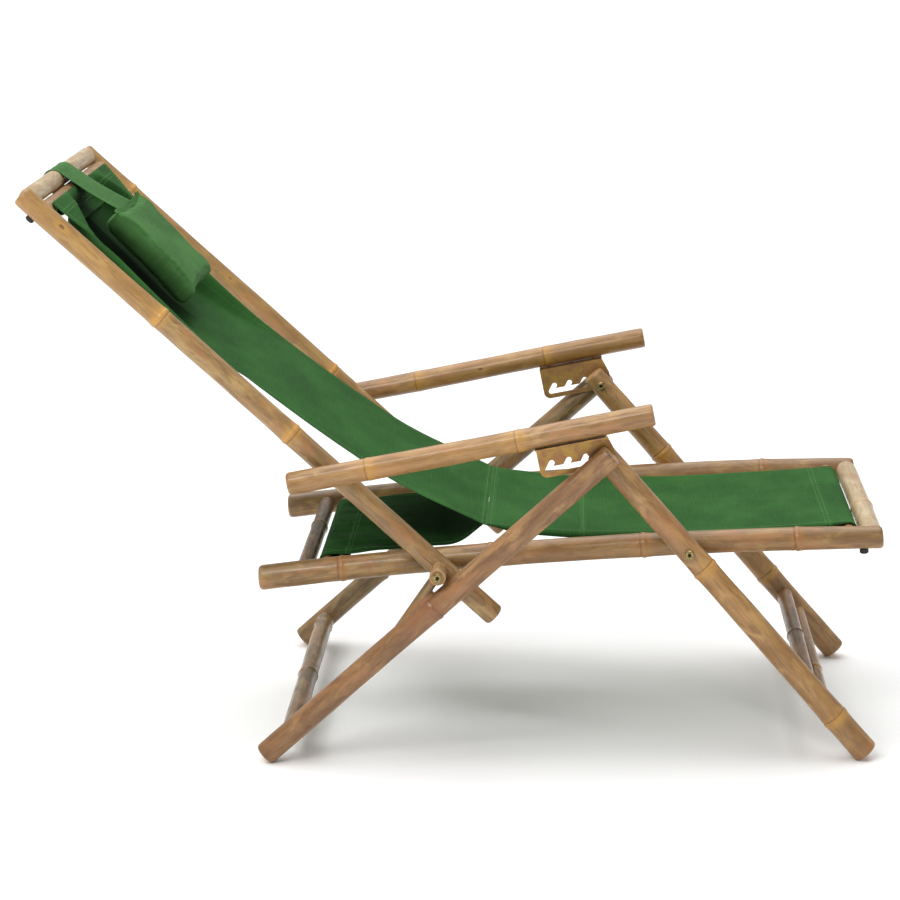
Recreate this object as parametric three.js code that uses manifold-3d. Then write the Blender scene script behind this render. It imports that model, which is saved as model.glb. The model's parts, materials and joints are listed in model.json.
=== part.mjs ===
// Bamboo folding recliner: pole frames bolted together, steel arm brackets, a canvas sling and a pillow.
// Millimetres, +Z up, +X towards the foot end, -Y the near side. The origin is on the floor, mid-way
// along and across the whole chair. Every place in the side view is an [x, z] pair from the leg pivot.

import * as THREE from 'three';
import { mergeVertices } from 'three/addons/utils/BufferGeometryUtils.js';
import Module from 'manifold-3d';

const wasm = await Module();
wasm.setup();

// Driving dimensions of the side view
const seatPivotHeight = 360;
const frontLegAngle = 131;
const frontLegAbovePivot = 219;
const frontLegBelowPivot = 451;
const frontLegTopReach = 24;
const frontLegFootReach = 15.85;
const rearLegAngle = 42.03;
const rearLegLength = 758.4;
const rearLegTopReach = 17;
const rearLegFootReach = 14;
const backPivotBehind = 420;
const backPivotDrop = 29;
const backAngle = 137.45;
const backAbovePivot = 916;
const backBelowPivot = 128;
const seatRailAngle = 4.32;
const seatRailBehind = 733;
const seatRailAhead = 329;
const seatRailDrop = 9.2;
const seatRailBow = 15;
const armrestAngle = 11.36;
const armPivotUpBack = 246;
const armrestBehindPivot = 70;
const armrestAheadOfPivot = 549;

// Driving dimensions of the cross section
const seatRailHalfSpacing = 245;
const seatRailRearRadius = 21.8;
const seatRailFootRadius = 19.6;
const backRailRadius = 18.6;
const backRailTopRadius = 18.0;
const frontLegRadius = 20;
const frontLegFootRadius = 21.5;
const rearLegRadius = 20;
const armrestRearRadius = 19.4;
const armrestFrontRadius = 18.4;
const outerGap = 4.6;
const innerGap = 2.2;
const runningGap = 0.3;

// Bamboo form
const poleSides = 14;
const barSides = 10;
const nodeSwell = 1.7;
const nodeHalfLength = 9;
const edgeRound = 3.5;
const tenonRadiusShare = 0.62;
const tenonLength = 14;

// Rear leg fork: the branch stub that carries the pivot peg
const forkBranchRadius = 9;
const forkBranchTipRadius = 8.4;
const forkRootBelowTop = 512;
const forkTipSide = 44;
const swingSides = 160;

// Pegs, bolts, washers and bumpers
const pegRadius = 14;
const pegLength = 52;
const boltRadius = 3;
const boltHole = 3.3;
const boltHeadRadius = 8;
const boltHeadLength = 5;
const socketRadius = 2.6;
const socketDepth = 2.8;
const boltSides = 10;
const hexSides = 6;
const slotEndSides = 6;
const cornerSides = 5;
const washerRadius = 10;
const nutRadius = 6;
const nutLength = 5;
const threadProud = 3;
const bumperRadius = 9;
const bumperHeight = 11;
const screwRadius = 2;
const screwHeadRadius = 4.5;
const screwHeadLength = 2.4;
const screwGrip = 12;
const domeShare = 0.72;
const screwConeShare = 0.6;
const bumperTaperShare = 0.75;
const screwShares = [0.14, 0.5, 0.86];

// Arm bracket: an L of folded plate with a comb slot
const bracketLength = 119;
const bracketNoseReach = 9;
const bracketBehindBolt = 109;
const bracketThick = 2;
const bracketDepth = 57;
const bracketFlange = 36;
const bracketCorner = 12;
const slotHalfWidth = 4.8;
const slotRearMargin = 10;
const notchPitch = 29;
const notchCount = 4;
const notchRise = 10.6;
const notchLean = 8;
const boltPlayUp = 1.05;
const armHolePlay = 2;

// Crossbars: places from their own rails, and radii
const topBarBelowTop = 12;
const topBarRadius = 16.5;
const topSlingBarBelowTop = 78;
const topSlingBarRadius = 12;
const footBarBehindEnd = 13;
const footBarRadius = 15.5;
const footSlingBarBehindEnd = 62;
const footSlingBarRadius = 12;
const rearBarAheadOfEnd = 75;
const rearBarRadius = 14;
const rearSlingBarAheadOfEnd = 158;
const rearSlingBarRadius = 12;
const rearStretcherAboveFoot = 74;
const rearStretcherRadius = 14;
const frontStretcherAboveFoot = 134;
const frontStretcherRadius = 14;
const lowStretcherAboveFoot = 93;
const lowStretcherRadius = 11;

// Sling: its places are heights off the back rails' centre line at shares of the back's length
const slingHalfWidth = 212;
const slingThick = 2;
const slingFootHalfWidth = 205;
const slingTopHalfWidth = 196;
const slingClear = 0.6;
const slingUpShares = { upper: 0.55, middle: 0.39, lower: 0.144 };
const slingOffRail = { upper: 2.4, middle: 12.5, lower: 44 };
const seamAhead = 76;
const seamRise = 52;
const clothSplit = 0.4;
const rearSlingHalfWidth = 205;
const rearSlingSag = 7;
const rearSlingShort = 4;
const rearSlingUnder = 2.8;
const loopWrap = 200;
const foldCount = 6;
const foldDepth = 2.2;
const foldFadeShare = 0.22;
const loopRunShare = 0.5;
const slingRuns = 14;
const rearRuns = 8;
const loopSteps = 8;
const backRunSteps = 8;
const hipRunSteps = 3;
const seatRunSteps = 6;
const rearRunSteps = 5;

// Pillow: a crowned form with drawn-in sides, lying on the sling below the top sling bar
const pillowHalfWidth = 145;
const pillowLength = 200;
const pillowFromTop = 108;
const pillowThick = 54;
const pillowTopClear = 14.8;
const pillowFootClear = 7.3;
const pillowPull = 7;
const pillowEdgeShare = 0.42;
const pillowRoundShare = 0.5;
const pillowColumns = 10;
const pillowRows = 8;

// Strap from the pillow over the top bar
const strapHalfWidth = 55;
const strapThick = 1.6;
const strapTailLength = 55;
const strapRunSteps = 5;
const strapRuns = 4;

const rad = THREE.MathUtils.degToRad;
const overrun = 6;
const half = 0.5;
const quarterTurn = 90;
const weldDistance = 1e-3;
const slopeStepShare = 0.01;

const colours = {
  bamboo: 0xb08a5f,
  paleBamboo: 0xcdb48c,
  steel: 0xa57d41,
  zinc: 0xb9b08a,
  rubber: 0x1d1c1b,
  canvas: 0x2e7a3a,
};

const materials = {
  bamboo: new THREE.MeshStandardMaterial({ color: colours.bamboo, roughness: 0.45, metalness: 0 }),
  paleBamboo: new THREE.MeshStandardMaterial({ color: colours.paleBamboo, roughness: 0.5, metalness: 0 }),
  steel: new THREE.MeshStandardMaterial({ color: colours.steel, roughness: 0.35, metalness: 0.9 }),
  zinc: new THREE.MeshStandardMaterial({ color: colours.zinc, roughness: 0.3, metalness: 0.9 }),
  rubber: new THREE.MeshStandardMaterial({ color: colours.rubber, roughness: 0.8, metalness: 0 }),
  canvas: new THREE.MeshStandardMaterial({ color: colours.canvas, roughness: 0.85, metalness: 0 }),
};

// Side view helpers: a place is [x, z], and an angle turns from +X towards +Z
const along = (place, angle, distance) => [
  place[0] + Math.cos(rad(angle)) * distance,
  place[1] + Math.sin(rad(angle)) * distance,
];
const between = (a, b, share) => [a[0] + (b[0] - a[0]) * share, a[1] + (b[1] - a[1]) * share];
const distance = (a, b) => Math.hypot(b[0] - a[0], b[1] - a[1]);
const angleOf = (a, b) => THREE.MathUtils.radToDeg(Math.atan2(b[1] - a[1], b[0] - a[0]));

// Places of the pivots and pole ends
const legPivot = [0, seatPivotHeight];
const topPivot = along(legPivot, frontLegAngle, frontLegAbovePivot);
const frontFoot = along(legPivot, frontLegAngle, -frontLegBelowPivot);
const rearFoot = along(topPivot, rearLegAngle, -rearLegLength);
const backPivot = [legPivot[0] - backPivotBehind, seatPivotHeight - backPivotDrop];
const backTop = along(backPivot, backAngle, backAbovePivot);
const backFoot = along(backPivot, backAngle, -backBelowPivot);
const armPivot = along(backPivot, backAngle, armPivotUpBack);
const seatChordBase = [legPivot[0], legPivot[1] - seatRailDrop];
const seatRear = along(seatChordBase, seatRailAngle, -seatRailBehind);
const seatFront = along(seatChordBase, seatRailAngle, seatRailAhead);

// Layers from the middle outwards
const seatLayer = seatRailHalfSpacing;
const innerLayer = seatLayer + seatRailRearRadius + innerGap + frontLegRadius;
const outerLayer = innerLayer + frontLegRadius + outerGap + rearLegRadius;
const sides = { near: -1, far: 1 };

const group = new THREE.Group();

function addMesh(name, geometry, material) {
  geometry.computeVertexNormals();
  const mesh = new THREE.Mesh(geometry, material);
  mesh.name = name;
  group.add(mesh);
  return mesh;
}

// A closed geometry becomes a solid, and back
function toSolid(geometry) {
  const bare = geometry.clone();
  bare.deleteAttribute('normal');
  bare.deleteAttribute('uv');
  const merged = mergeVertices(bare, weldDistance);
  const index = merged.index.array;
  const triVerts = [];
  for (let i = 0; i < index.length; i += 3) {
    const [a, b, c] = [index[i], index[i + 1], index[i + 2]];
    if (a !== b && b !== c && a !== c) triVerts.push(a, b, c);
  }
  const mesh = new wasm.Mesh({
    numProp: 3,
    vertProperties: new Float32Array(merged.attributes.position.array),
    triVerts: new Uint32Array(triVerts),
  });
  mesh.merge();
  return new wasm.Manifold(mesh);
}

function fromSolid(solid) {
  const mesh = solid.getMesh();
  const geometry = new THREE.BufferGeometry();
  geometry.setAttribute('position', new THREE.BufferAttribute(new Float32Array(mesh.vertProperties), 3));
  geometry.setIndex(new THREE.BufferAttribute(new Uint32Array(mesh.triVerts), 1));
  return geometry;
}

// A revolved profile of [radius, distance] pairs, laid from one 3-D point towards another
function revolved(profile, start, direction, segments) {
  const points = profile.map(([radius, travel]) => new THREE.Vector2(radius, travel));
  const geometry = new THREE.LatheGeometry(points, segments);
  const turn = new THREE.Quaternion().setFromUnitVectors(new THREE.Vector3(0, 1, 0), direction);
  geometry.applyQuaternion(turn);
  geometry.translate(start.x, start.y, start.z);
  return geometry;
}

// Outline of a cane: rounded ends and a ring at each joint of the cane
function caneProfile(length, startRadius, endRadius, nodeShares) {
  const radiusAt = (travel) => startRadius + (endRadius - startRadius) * (travel / length);
  const profile = [[0, 0], [radiusAt(0) - edgeRound, 0], [radiusAt(0), edgeRound]];
  for (const share of [...nodeShares].sort((a, b) => a - b)) {
    const centre = share * length;
    profile.push([radiusAt(centre), centre - nodeHalfLength]);
    profile.push([radiusAt(centre) + nodeSwell, centre]);
    profile.push([radiusAt(centre), centre + nodeHalfLength]);
  }
  profile.push([radiusAt(length), length - edgeRound], [radiusAt(length) - edgeRound, length], [0, length]);
  return profile;
}

const point = (place, y) => new THREE.Vector3(place[0], y, place[1]);

// A pole in the side view, bowed upwards between its ends by the given height
const bowAt = (share, bow) => 4 * bow * share * (1 - share);

function pole(from, to, y, startRadius, endRadius, nodeShares, bow = 0, bowShares = []) {
  const start = point(from, y);
  const direction = point(to, y).sub(start);
  const length = direction.length();
  direction.normalize();
  const profile = caneProfile(length, startRadius, endRadius, nodeShares);
  for (const share of bowShares) {
    profile.push([startRadius + (endRadius - startRadius) * share, share * length]);
  }
  profile.sort((a, b) => (a[1] - b[1]) || (a[1] < length * half ? a[0] - b[0] : b[0] - a[0]));
  const geometry = revolved(profile, start, direction, poleSides);
  const position = geometry.attributes.position;
  const vertex = new THREE.Vector3();
  for (let i = 0; i < position.count; i += 1) {
    vertex.fromBufferAttribute(position, i);
    const share = THREE.MathUtils.clamp(vertex.clone().sub(start).dot(direction) / length, 0, 1);
    position.setZ(i, vertex.z + bowAt(share, bow));
  }
  return toSolid(geometry);
}

// A crossbar between two rails at the same side view place, tenoned into both
function crossbar(name, place, railY, railRadius, radius, nodeShares, material = materials.bamboo) {
  const shoulder = railY - railRadius - runningGap;
  const profile = caneProfile(2 * shoulder, radius, radius, nodeShares);
  const body = toSolid(revolved(profile, point(place, -shoulder), new THREE.Vector3(0, 1, 0), barSides));
  const tenonEnd = railY - railRadius + tenonLength;
  const tenon = cylinderY(place, -tenonEnd, tenonEnd, radius * tenonRadiusShare, barSides);
  addMesh(name, fromSolid(body.add(tenon)), material);
}

// A cylinder along Y between two heights of y
function cylinderY(place, y0, y1, radius, segments) {
  const low = Math.min(y0, y1);
  const high = Math.max(y0, y1);
  const profile = [[0, 0], [radius, 0], [radius, high - low], [0, high - low]];
  return toSolid(revolved(profile, point(place, low), new THREE.Vector3(0, 1, 0), segments));
}

function mortise(place, side, railY, railRadius, barRadius) {
  const bottom = side * (railY - railRadius + tenonLength + runningGap);
  const mouth = side * (railY - railRadius - overrun);
  return cylinderY(place, mouth, bottom, barRadius * tenonRadiusShare + runningGap, barSides);
}

const boltBore = (place, side, yIn, yOut) => cylinderY(place, side * yIn, side * yOut, boltHole, boltSides);

// Rails with their mortises and bolt bores
const seatChordAt = (share) => {
  const place = between(seatRear, seatFront, share);
  return [place[0], place[1] + bowAt(share, seatRailBow)];
};
const seatLength = distance(seatRear, seatFront);
const seatSlopeAt = (share) => angleOf(
  seatChordAt(share - slopeStepShare),
  seatChordAt(share + slopeStepShare),
);
const seatRadiusAt = (share) => seatRailRearRadius + (seatRailFootRadius - seatRailRearRadius) * share;
const shareOnSeat = (place) => (place[0] - seatRear[0]) / (seatFront[0] - seatRear[0]);
const seatNodeShares = { near: [0.13, 0.62, 0.9], far: [0.24, 0.55, 0.84] };
const seatBowShares = [0.3, 0.45, 0.75];
const legPivotSeatRadius = seatRadiusAt(shareOnSeat(legPivot));
const backPivotSeatRadius = seatRadiusAt(shareOnSeat(backPivot));

const seatBars = {
  foot_bar: {
    share: 1 - footBarBehindEnd / seatLength, radius: footBarRadius, nodeShares: [0.62], pale: true,
  },
  foot_sling_bar: {
    share: 1 - footSlingBarBehindEnd / seatLength, radius: footSlingBarRadius, nodeShares: [], pale: false,
  },
  rear_bar: {
    share: rearBarAheadOfEnd / seatLength, radius: rearBarRadius, nodeShares: [0.68], pale: true,
  },
  rear_sling_bar: {
    share: rearSlingBarAheadOfEnd / seatLength, radius: rearSlingBarRadius, nodeShares: [], pale: false,
  },
};

function addSeatFrame() {
  for (const [side, sign] of Object.entries(sides)) {
    let rail = pole(seatRear, seatFront, sign * seatLayer, seatRailRearRadius, seatRailFootRadius,
      seatNodeShares[side], seatRailBow, seatBowShares);
    for (const { share, radius } of Object.values(seatBars)) {
      rail = rail.subtract(mortise(seatChordAt(share), sign, seatLayer, seatRadiusAt(share), radius));
    }
    const outside = seatLayer + seatRailRearRadius + overrun;
    const inside = seatLayer - seatRailRearRadius - overrun;
    rail = rail.subtract(boltBore(backPivot, sign, inside, outside));
    rail = rail.subtract(boltBore(legPivot, sign, inside, outside));
    addMesh(`seat_rail_${side}`, fromSolid(rail), materials.bamboo);
  }
  for (const [name, { share, radius, nodeShares, pale }] of Object.entries(seatBars)) {
    const material = pale ? materials.paleBamboo : materials.bamboo;
    crossbar(name, seatChordAt(share), seatLayer, seatRadiusAt(share), radius, nodeShares, material);
  }
}

// Back frame
const backLength = backAbovePivot + backBelowPivot;
const backShare = (up) => (backBelowPivot + up) / backLength;
const backRadiusAt = (up) => backRailRadius + (backRailTopRadius - backRailRadius) * backShare(up);
const topBarUp = backAbovePivot - topBarBelowTop;
const topSlingBarUp = backAbovePivot - topSlingBarBelowTop;
const backNodeShares = { near: [0.2, 0.47, 0.74], far: [0.34, 0.6, 0.9] };
const backBars = {
  top_bar: { up: topBarUp, radius: topBarRadius, nodeShares: [], pale: true },
  top_sling_bar: { up: topSlingBarUp, radius: topSlingBarRadius, nodeShares: [], pale: false },
};

function addBackFrame() {
  for (const [side, sign] of Object.entries(sides)) {
    let rail = pole(backFoot, backTop, sign * innerLayer, backRailRadius, backRailTopRadius,
      backNodeShares[side]);
    for (const { up, radius } of Object.values(backBars)) {
      const place = along(backPivot, backAngle, up);
      rail = rail.subtract(mortise(place, sign, innerLayer, backRadiusAt(up), radius));
    }
    const inside = innerLayer - backRailRadius - overrun;
    const outside = innerLayer + backRailRadius + overrun;
    rail = rail.subtract(boltBore(backPivot, sign, inside, outside));
    rail = rail.subtract(boltBore(armPivot, sign, inside, outside));
    addMesh(`back_rail_${side}`, fromSolid(rail), materials.bamboo);
  }
  for (const [name, { up, radius, nodeShares, pale }] of Object.entries(backBars)) {
    const material = pale ? materials.paleBamboo : materials.bamboo;
    const place = along(backPivot, backAngle, up);
    crossbar(name, place, innerLayer, backRadiusAt(up), radius, nodeShares, material);
  }
}

// Front legs
const frontLegTop = along(topPivot, frontLegAngle, frontLegTopReach);
const frontLegEnd = along(frontFoot, frontLegAngle, -frontLegFootReach);
const frontLegNodeShares = { near: [0.4, 0.885], far: [0.28, 0.72] };
const frontLegSpan = frontLegAbovePivot + frontLegTopReach + frontLegBelowPivot + frontLegFootReach;
const frontRadiusAt = (up) => frontLegFootRadius
  + (frontLegRadius - frontLegFootRadius) * ((up + frontLegFootReach) / frontLegSpan);
const frontBars = {
  front_stretcher_upper: { up: frontStretcherAboveFoot, radius: frontStretcherRadius, nodeShares: [0.52] },
  front_stretcher_lower: { up: lowStretcherAboveFoot, radius: lowStretcherRadius, nodeShares: [0.67] },
};

function addFrontLegs() {
  for (const [side, sign] of Object.entries(sides)) {
    let leg = pole(frontLegTop, frontLegEnd, sign * innerLayer, frontLegRadius, frontLegFootRadius,
      frontLegNodeShares[side]);
    for (const { up, radius } of Object.values(frontBars)) {
      const place = along(frontFoot, frontLegAngle, up);
      leg = leg.subtract(mortise(place, sign, innerLayer, frontRadiusAt(up), radius));
    }
    const inside = innerLayer - frontLegFootRadius - overrun;
    const outside = innerLayer + frontLegFootRadius + overrun;
    leg = leg.subtract(boltBore(legPivot, sign, inside, outside));
    leg = leg.subtract(boltBore(topPivot, sign, inside, outside));
    addMesh(`front_leg_${side}`, fromSolid(leg), materials.bamboo);
  }
  for (const [name, { up, radius, nodeShares }] of Object.entries(frontBars)) {
    crossbar(name, along(frontFoot, frontLegAngle, up), innerLayer, frontRadiusAt(up), radius, nodeShares);
  }
}

// Rear legs: each grows a branch stub, and its end, cut round the top pivot, carries the pivot peg
const rearLegTop = along(topPivot, rearLegAngle, rearLegTopReach);
const rearLegEnd = along(rearFoot, rearLegAngle, -rearLegFootReach);
const rearLegNodeShares = { near: [0.26, 0.66], far: [0.38, 0.74] };
const forkRoot = along(topPivot, rearLegAngle, -forkRootBelowTop);
const pegDistance = distance(topPivot, backPivot);
const pegDown = pegDistance * Math.cos(rad(angleOf(backPivot, topPivot) - rearLegAngle));
const forkTip = along(along(topPivot, rearLegAngle, -pegDown), rearLegAngle + 90, forkTipSide);

function addRearLegs() {
  const rearBar = along(rearFoot, rearLegAngle, rearStretcherAboveFoot);
  for (const [side, sign] of Object.entries(sides)) {
    const y = sign * outerLayer;
    let leg = pole(rearLegTop, rearLegEnd, y, rearLegRadius, rearLegRadius, rearLegNodeShares[side]);
    const swing = cylinderY(topPivot, y - rearLegRadius * 2, y + rearLegRadius * 2,
      pegDistance + pegRadius + runningGap, swingSides);
    const branch = pole(forkRoot, forkTip, y, forkBranchRadius, forkBranchTipRadius, []).subtract(swing);
    leg = leg.add(branch);
    leg = leg.subtract(mortise(rearBar, sign, outerLayer, rearLegRadius, rearStretcherRadius));
    const blindEnd = outerLayer + rearLegRadius * half + runningGap;
    leg = leg.subtract(boltBore(topPivot, sign, outerLayer - rearLegRadius - overrun, blindEnd));
    addMesh(`rear_leg_${side}`, fromSolid(leg), materials.bamboo);
  }
  crossbar('rear_stretcher', rearBar, outerLayer, rearLegRadius, rearStretcherRadius, [0.34, 0.72]);
}

// Bolts: a domed socket head, a shank along Y, and a nut where the end comes out
function socketHead(place, side, faceY, outwards, radius, length) {
  const tip = faceY + outwards * length;
  const profile = [
    [0, 0], [radius, 0], [radius, length * half], [radius * domeShare, length],
    [socketRadius, length], [socketRadius, length - socketDepth], [0, length - socketDepth],
  ];
  const direction = new THREE.Vector3(0, Math.sign(side * (tip - faceY)), 0);
  return toSolid(revolved(profile, point(place, side * faceY), direction, boltSides));
}

function bolt(name, place, side, headY, outwards, shankEnd) {
  const head = socketHead(place, side, headY, outwards, boltHeadRadius, boltHeadLength);
  const root = headY + outwards * (boltHeadLength - socketDepth) * half;
  const shank = cylinderY(place, side * root, side * shankEnd, boltRadius, boltSides);
  addMesh(name, fromSolid(head.add(shank)), materials.zinc);
}

function ring(name, place, side, y0, y1, radius, bore, material, segments = boltSides) {
  const outer = cylinderY(place, side * y0, side * y1, radius, segments);
  const low = Math.min(y0, y1) - overrun;
  const high = Math.max(y0, y1) + overrun;
  const hole = cylinderY(place, side * low, side * high, bore, boltSides);
  addMesh(name, fromSolid(outer.subtract(hole)), material);
}

const legRadiusAtPivot = frontRadiusAt(frontLegBelowPivot);
const legRadiusAtTop = frontRadiusAt(frontLegBelowPivot + frontLegAbovePivot);
const armrestLength = armrestBehindPivot + armrestAheadOfPivot;
const armRadiusAtPivot = armrestRearRadius
  + (armrestFrontRadius - armrestRearRadius) * (armrestBehindPivot / armrestLength);
const pegStart = innerLayer + backRadiusAt(0) + runningGap;
const pegEnd = pegStart + pegLength;

function addPivotHardware() {
  for (const [side, sign] of Object.entries(sides)) {
    const seatInside = seatLayer - backPivotSeatRadius - runningGap;
    ring(`pivot_peg_${side}`, backPivot, sign, pegStart, pegEnd, pegRadius, boltHole, materials.bamboo,
      poleSides);
    bolt(`pivot_bolt_${side}`, backPivot, sign, pegEnd + runningGap, 1, seatInside - nutLength - threadProud);
    ring(`pivot_nut_${side}`, backPivot, sign, seatInside - nutLength, seatInside, nutRadius, boltHole,
      materials.zinc, hexSides);
    ring(`pivot_washer_${side}`, backPivot, sign, seatLayer + backPivotSeatRadius + runningGap,
      innerLayer - backRadiusAt(0) - runningGap, washerRadius, boltHole, materials.rubber);

    const legHead = innerLayer + legRadiusAtPivot + runningGap;
    const legInside = seatLayer - legPivotSeatRadius - runningGap;
    bolt(`leg_bolt_${side}`, legPivot, sign, legHead, 1, legInside - nutLength - threadProud);
    ring(`leg_nut_${side}`, legPivot, sign, legInside - nutLength, legInside, nutRadius, boltHole,
      materials.zinc, hexSides);
    ring(`leg_washer_${side}`, legPivot, sign, seatLayer + legPivotSeatRadius + runningGap,
      innerLayer - legRadiusAtPivot - runningGap, washerRadius, boltHole, materials.rubber);

    const topInside = innerLayer - legRadiusAtTop - runningGap;
    bolt(`top_bolt_${side}`, topPivot, sign, topInside, -1, outerLayer + rearLegRadius * half);

    const armInside = innerLayer - backRadiusAt(armPivotUpBack) - runningGap;
    bolt(`arm_bolt_${side}`, armPivot, sign, armInside, -1, outerLayer + armRadiusAtPivot * half);
    ring(`arm_spacer_${side}`, armPivot, sign, innerLayer + backRadiusAt(armPivotUpBack) + runningGap,
      outerLayer - armRadiusAtPivot - runningGap, washerRadius, boltHole, materials.rubber);
  }
}

// Armrests and their brackets
const armrestRear = along(armPivot, armrestAngle, -armrestBehindPivot);
const armrestFront = along(armPivot, armrestAngle, armrestAheadOfPivot);
const armrestNodeShares = { near: [0.4, 0.62], far: [0.36, 0.6] };
const boltAhead = distance(armPivot, topPivot)
  * Math.cos(rad(angleOf(armPivot, topPivot) - armrestAngle));
const boltDrop = -distance(armPivot, topPivot)
  * Math.sin(rad(angleOf(armPivot, topPivot) - armrestAngle));
const plateTop = armrestRearRadius + runningGap;

// A stretched hole: two round ends and straight sides, in the bracket's own plane
function slotHole(from, to, halfWidth, depth) {
  const lean = Math.atan2(to[1] - from[1], to[0] - from[0]);
  const shape = new THREE.Shape();
  shape.absarc(to[0], to[1], halfWidth, lean - Math.PI / 2, lean + Math.PI / 2, false);
  shape.absarc(from[0], from[1], halfWidth, lean + Math.PI / 2, lean + Math.PI * 1.5, false);
  shape.closePath();
  const options = { depth, bevelEnabled: false, curveSegments: slotEndSides };
  return toSolid(new THREE.ExtrudeGeometry(shape, options));
}

// The bracket in its own plane: first axis ahead along the arm from the pivot, second axis up from the
// arm's centre line, third axis its thickness
function bracketSolid() {
  const rear = boltAhead - bracketBehindBolt;
  const front = rear + bracketLength;
  const top = -plateTop;
  const bottom = -(plateTop + bracketDepth);
  const shape = new THREE.Shape();
  shape.moveTo(rear, top);
  shape.lineTo(rear, bottom + bracketCorner);
  shape.absarc(rear + bracketCorner, bottom + bracketCorner, bracketCorner, Math.PI, Math.PI * 1.5, false);
  shape.lineTo(front - bracketCorner, bottom);
  const nose = front + bracketNoseReach;
  shape.quadraticCurveTo(nose, bottom, nose, bottom + bracketDepth * half);
  shape.lineTo(front, top);
  shape.closePath();
  const options = { depth: bracketThick, bevelEnabled: false, curveSegments: cornerSides };
  let web = toSolid(new THREE.ExtrudeGeometry(shape, options));
  const channelLevel = -boltDrop - boltPlayUp;
  const cutDepth = bracketThick + 2 * overrun;
  const cut = (from, to) => slotHole(from, to, slotHalfWidth, cutDepth).translate([0, 0, -overrun]);
  const channelFront = boltAhead;
  const firstNotch = rear + slotRearMargin + slotHalfWidth;
  web = web.subtract(cut([firstNotch, channelLevel], [channelFront, channelLevel]));
  for (let i = 0; i < notchCount; i += 1) {
    const foot = channelFront - notchLean - i * notchPitch;
    web = web.subtract(cut([foot, channelLevel], [foot + notchLean, channelLevel + notchRise]));
  }
  const flange = toSolid(new THREE.BoxGeometry(bracketLength, bracketThick, bracketFlange)
    .translate((rear + front) * half, top - bracketThick * half, bracketFlange * half));
  return web.add(flange);
}

const screwAheads = () => {
  const rear = boltAhead - bracketBehindBolt;
  return screwShares.map((share) => rear + bracketLength * share);
};

// Turns the bracket's own plane into the chair: along the arm, up, and outwards
function placeOnArm(solid, sign) {
  const web = innerLayer + frontLegRadius + (outerGap - bracketThick) * half;
  const ahead = new THREE.Vector3(Math.cos(rad(armrestAngle)), 0, Math.sin(rad(armrestAngle)));
  const up = new THREE.Vector3(-Math.sin(rad(armrestAngle)), 0, Math.cos(rad(armrestAngle)));
  const matrix = new THREE.Matrix4().makeBasis(ahead, up, new THREE.Vector3(0, sign, 0));
  matrix.setPosition(armPivot[0], sign * web, armPivot[1]);
  return solid.transform(matrix.elements);
}

function addArmrests() {
  for (const [side, sign] of Object.entries(sides)) {
    const y = sign * outerLayer;
    let arm = pole(armrestRear, armrestFront, y, armrestRearRadius, armrestFrontRadius,
      armrestNodeShares[side]);
    const blindEnd = outerLayer + armRadiusAtPivot * half + runningGap;
    const boreStart = outerLayer - armrestRearRadius - overrun;
    const slackHole = boltHole + armHolePlay;
    arm = arm.subtract(cylinderY(armPivot, sign * boreStart, sign * blindEnd, slackHole, boltSides));
    const web = innerLayer + frontLegRadius + (outerGap - bracketThick) * half;
    const screwOut = outerLayer - web;
    let bracket = bracketSolid();
    screwAheads().forEach((ahead, i) => {
      const headLevel = -plateTop - bracketThick - runningGap;
      const tip = -plateTop + screwGrip;
      const start = new THREE.Vector3(ahead, headLevel - screwHeadLength, screwOut);
      const reach = tip - headLevel + screwHeadLength;
      const profile = [
        [0, 0], [screwHeadRadius * screwConeShare, 0], [screwHeadRadius, screwHeadLength],
        [screwRadius, screwHeadLength], [screwRadius, reach], [0, reach],
      ];
      const up = new THREE.Vector3(0, 1, 0);
      const screw = toSolid(revolved(profile, start, up, boltSides));
      const hole = [[0, 0], [screwRadius + runningGap, 0], [screwRadius + runningGap, reach + runningGap],
        [0, reach + runningGap]];
      const holeSolid = toSolid(revolved(hole, start, up, boltSides));
      bracket = bracket.subtract(holeSolid);
      arm = arm.subtract(placeOnArm(holeSolid, sign));
      addMesh(`bracket_screw_${side}_${i + 1}`, fromSolid(placeOnArm(screw, sign)), materials.zinc);
    });
    addMesh(`armrest_${side}`, fromSolid(arm), materials.bamboo);
    addMesh(`arm_bracket_${side}`, fromSolid(placeOnArm(bracket, sign)), materials.steel);
  }
}

// Rubber bumpers under the rails' ends
function addBumpers() {
  const under = backAngle + 90;
  const backPlace = along(along(backPivot, backAngle, topBarUp - bumperRadius), under,
    backRailTopRadius + runningGap);
  const seatShare = 1 - footSlingBarBehindEnd * half / seatLength;
  const seatCentre = seatChordAt(seatShare);
  const seatUnder = seatSlopeAt(seatShare) - 90;
  const seatPlace = along(seatCentre, seatUnder, seatRadiusAt(seatShare) + runningGap);
  const profile = [
    [0, 0], [bumperRadius, 0], [bumperRadius, bumperHeight * half],
    [bumperRadius * bumperTaperShare, bumperHeight], [0, bumperHeight],
  ];
  const backWay = new THREE.Vector3(Math.cos(rad(under)), 0, Math.sin(rad(under)));
  const seatWay = new THREE.Vector3(Math.cos(rad(seatUnder)), 0, Math.sin(rad(seatUnder)));
  for (const [side, sign] of Object.entries(sides)) {
    const backStart = point(backPlace, sign * innerLayer);
    const seatStart = point(seatPlace, sign * seatLayer);
    addMesh(`back_bumper_${side}`, revolved(profile, backStart, backWay, boltSides), materials.rubber);
    addMesh(`seat_bumper_${side}`, revolved(profile, seatStart, seatWay, boltSides), materials.rubber);
  }
}

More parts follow.
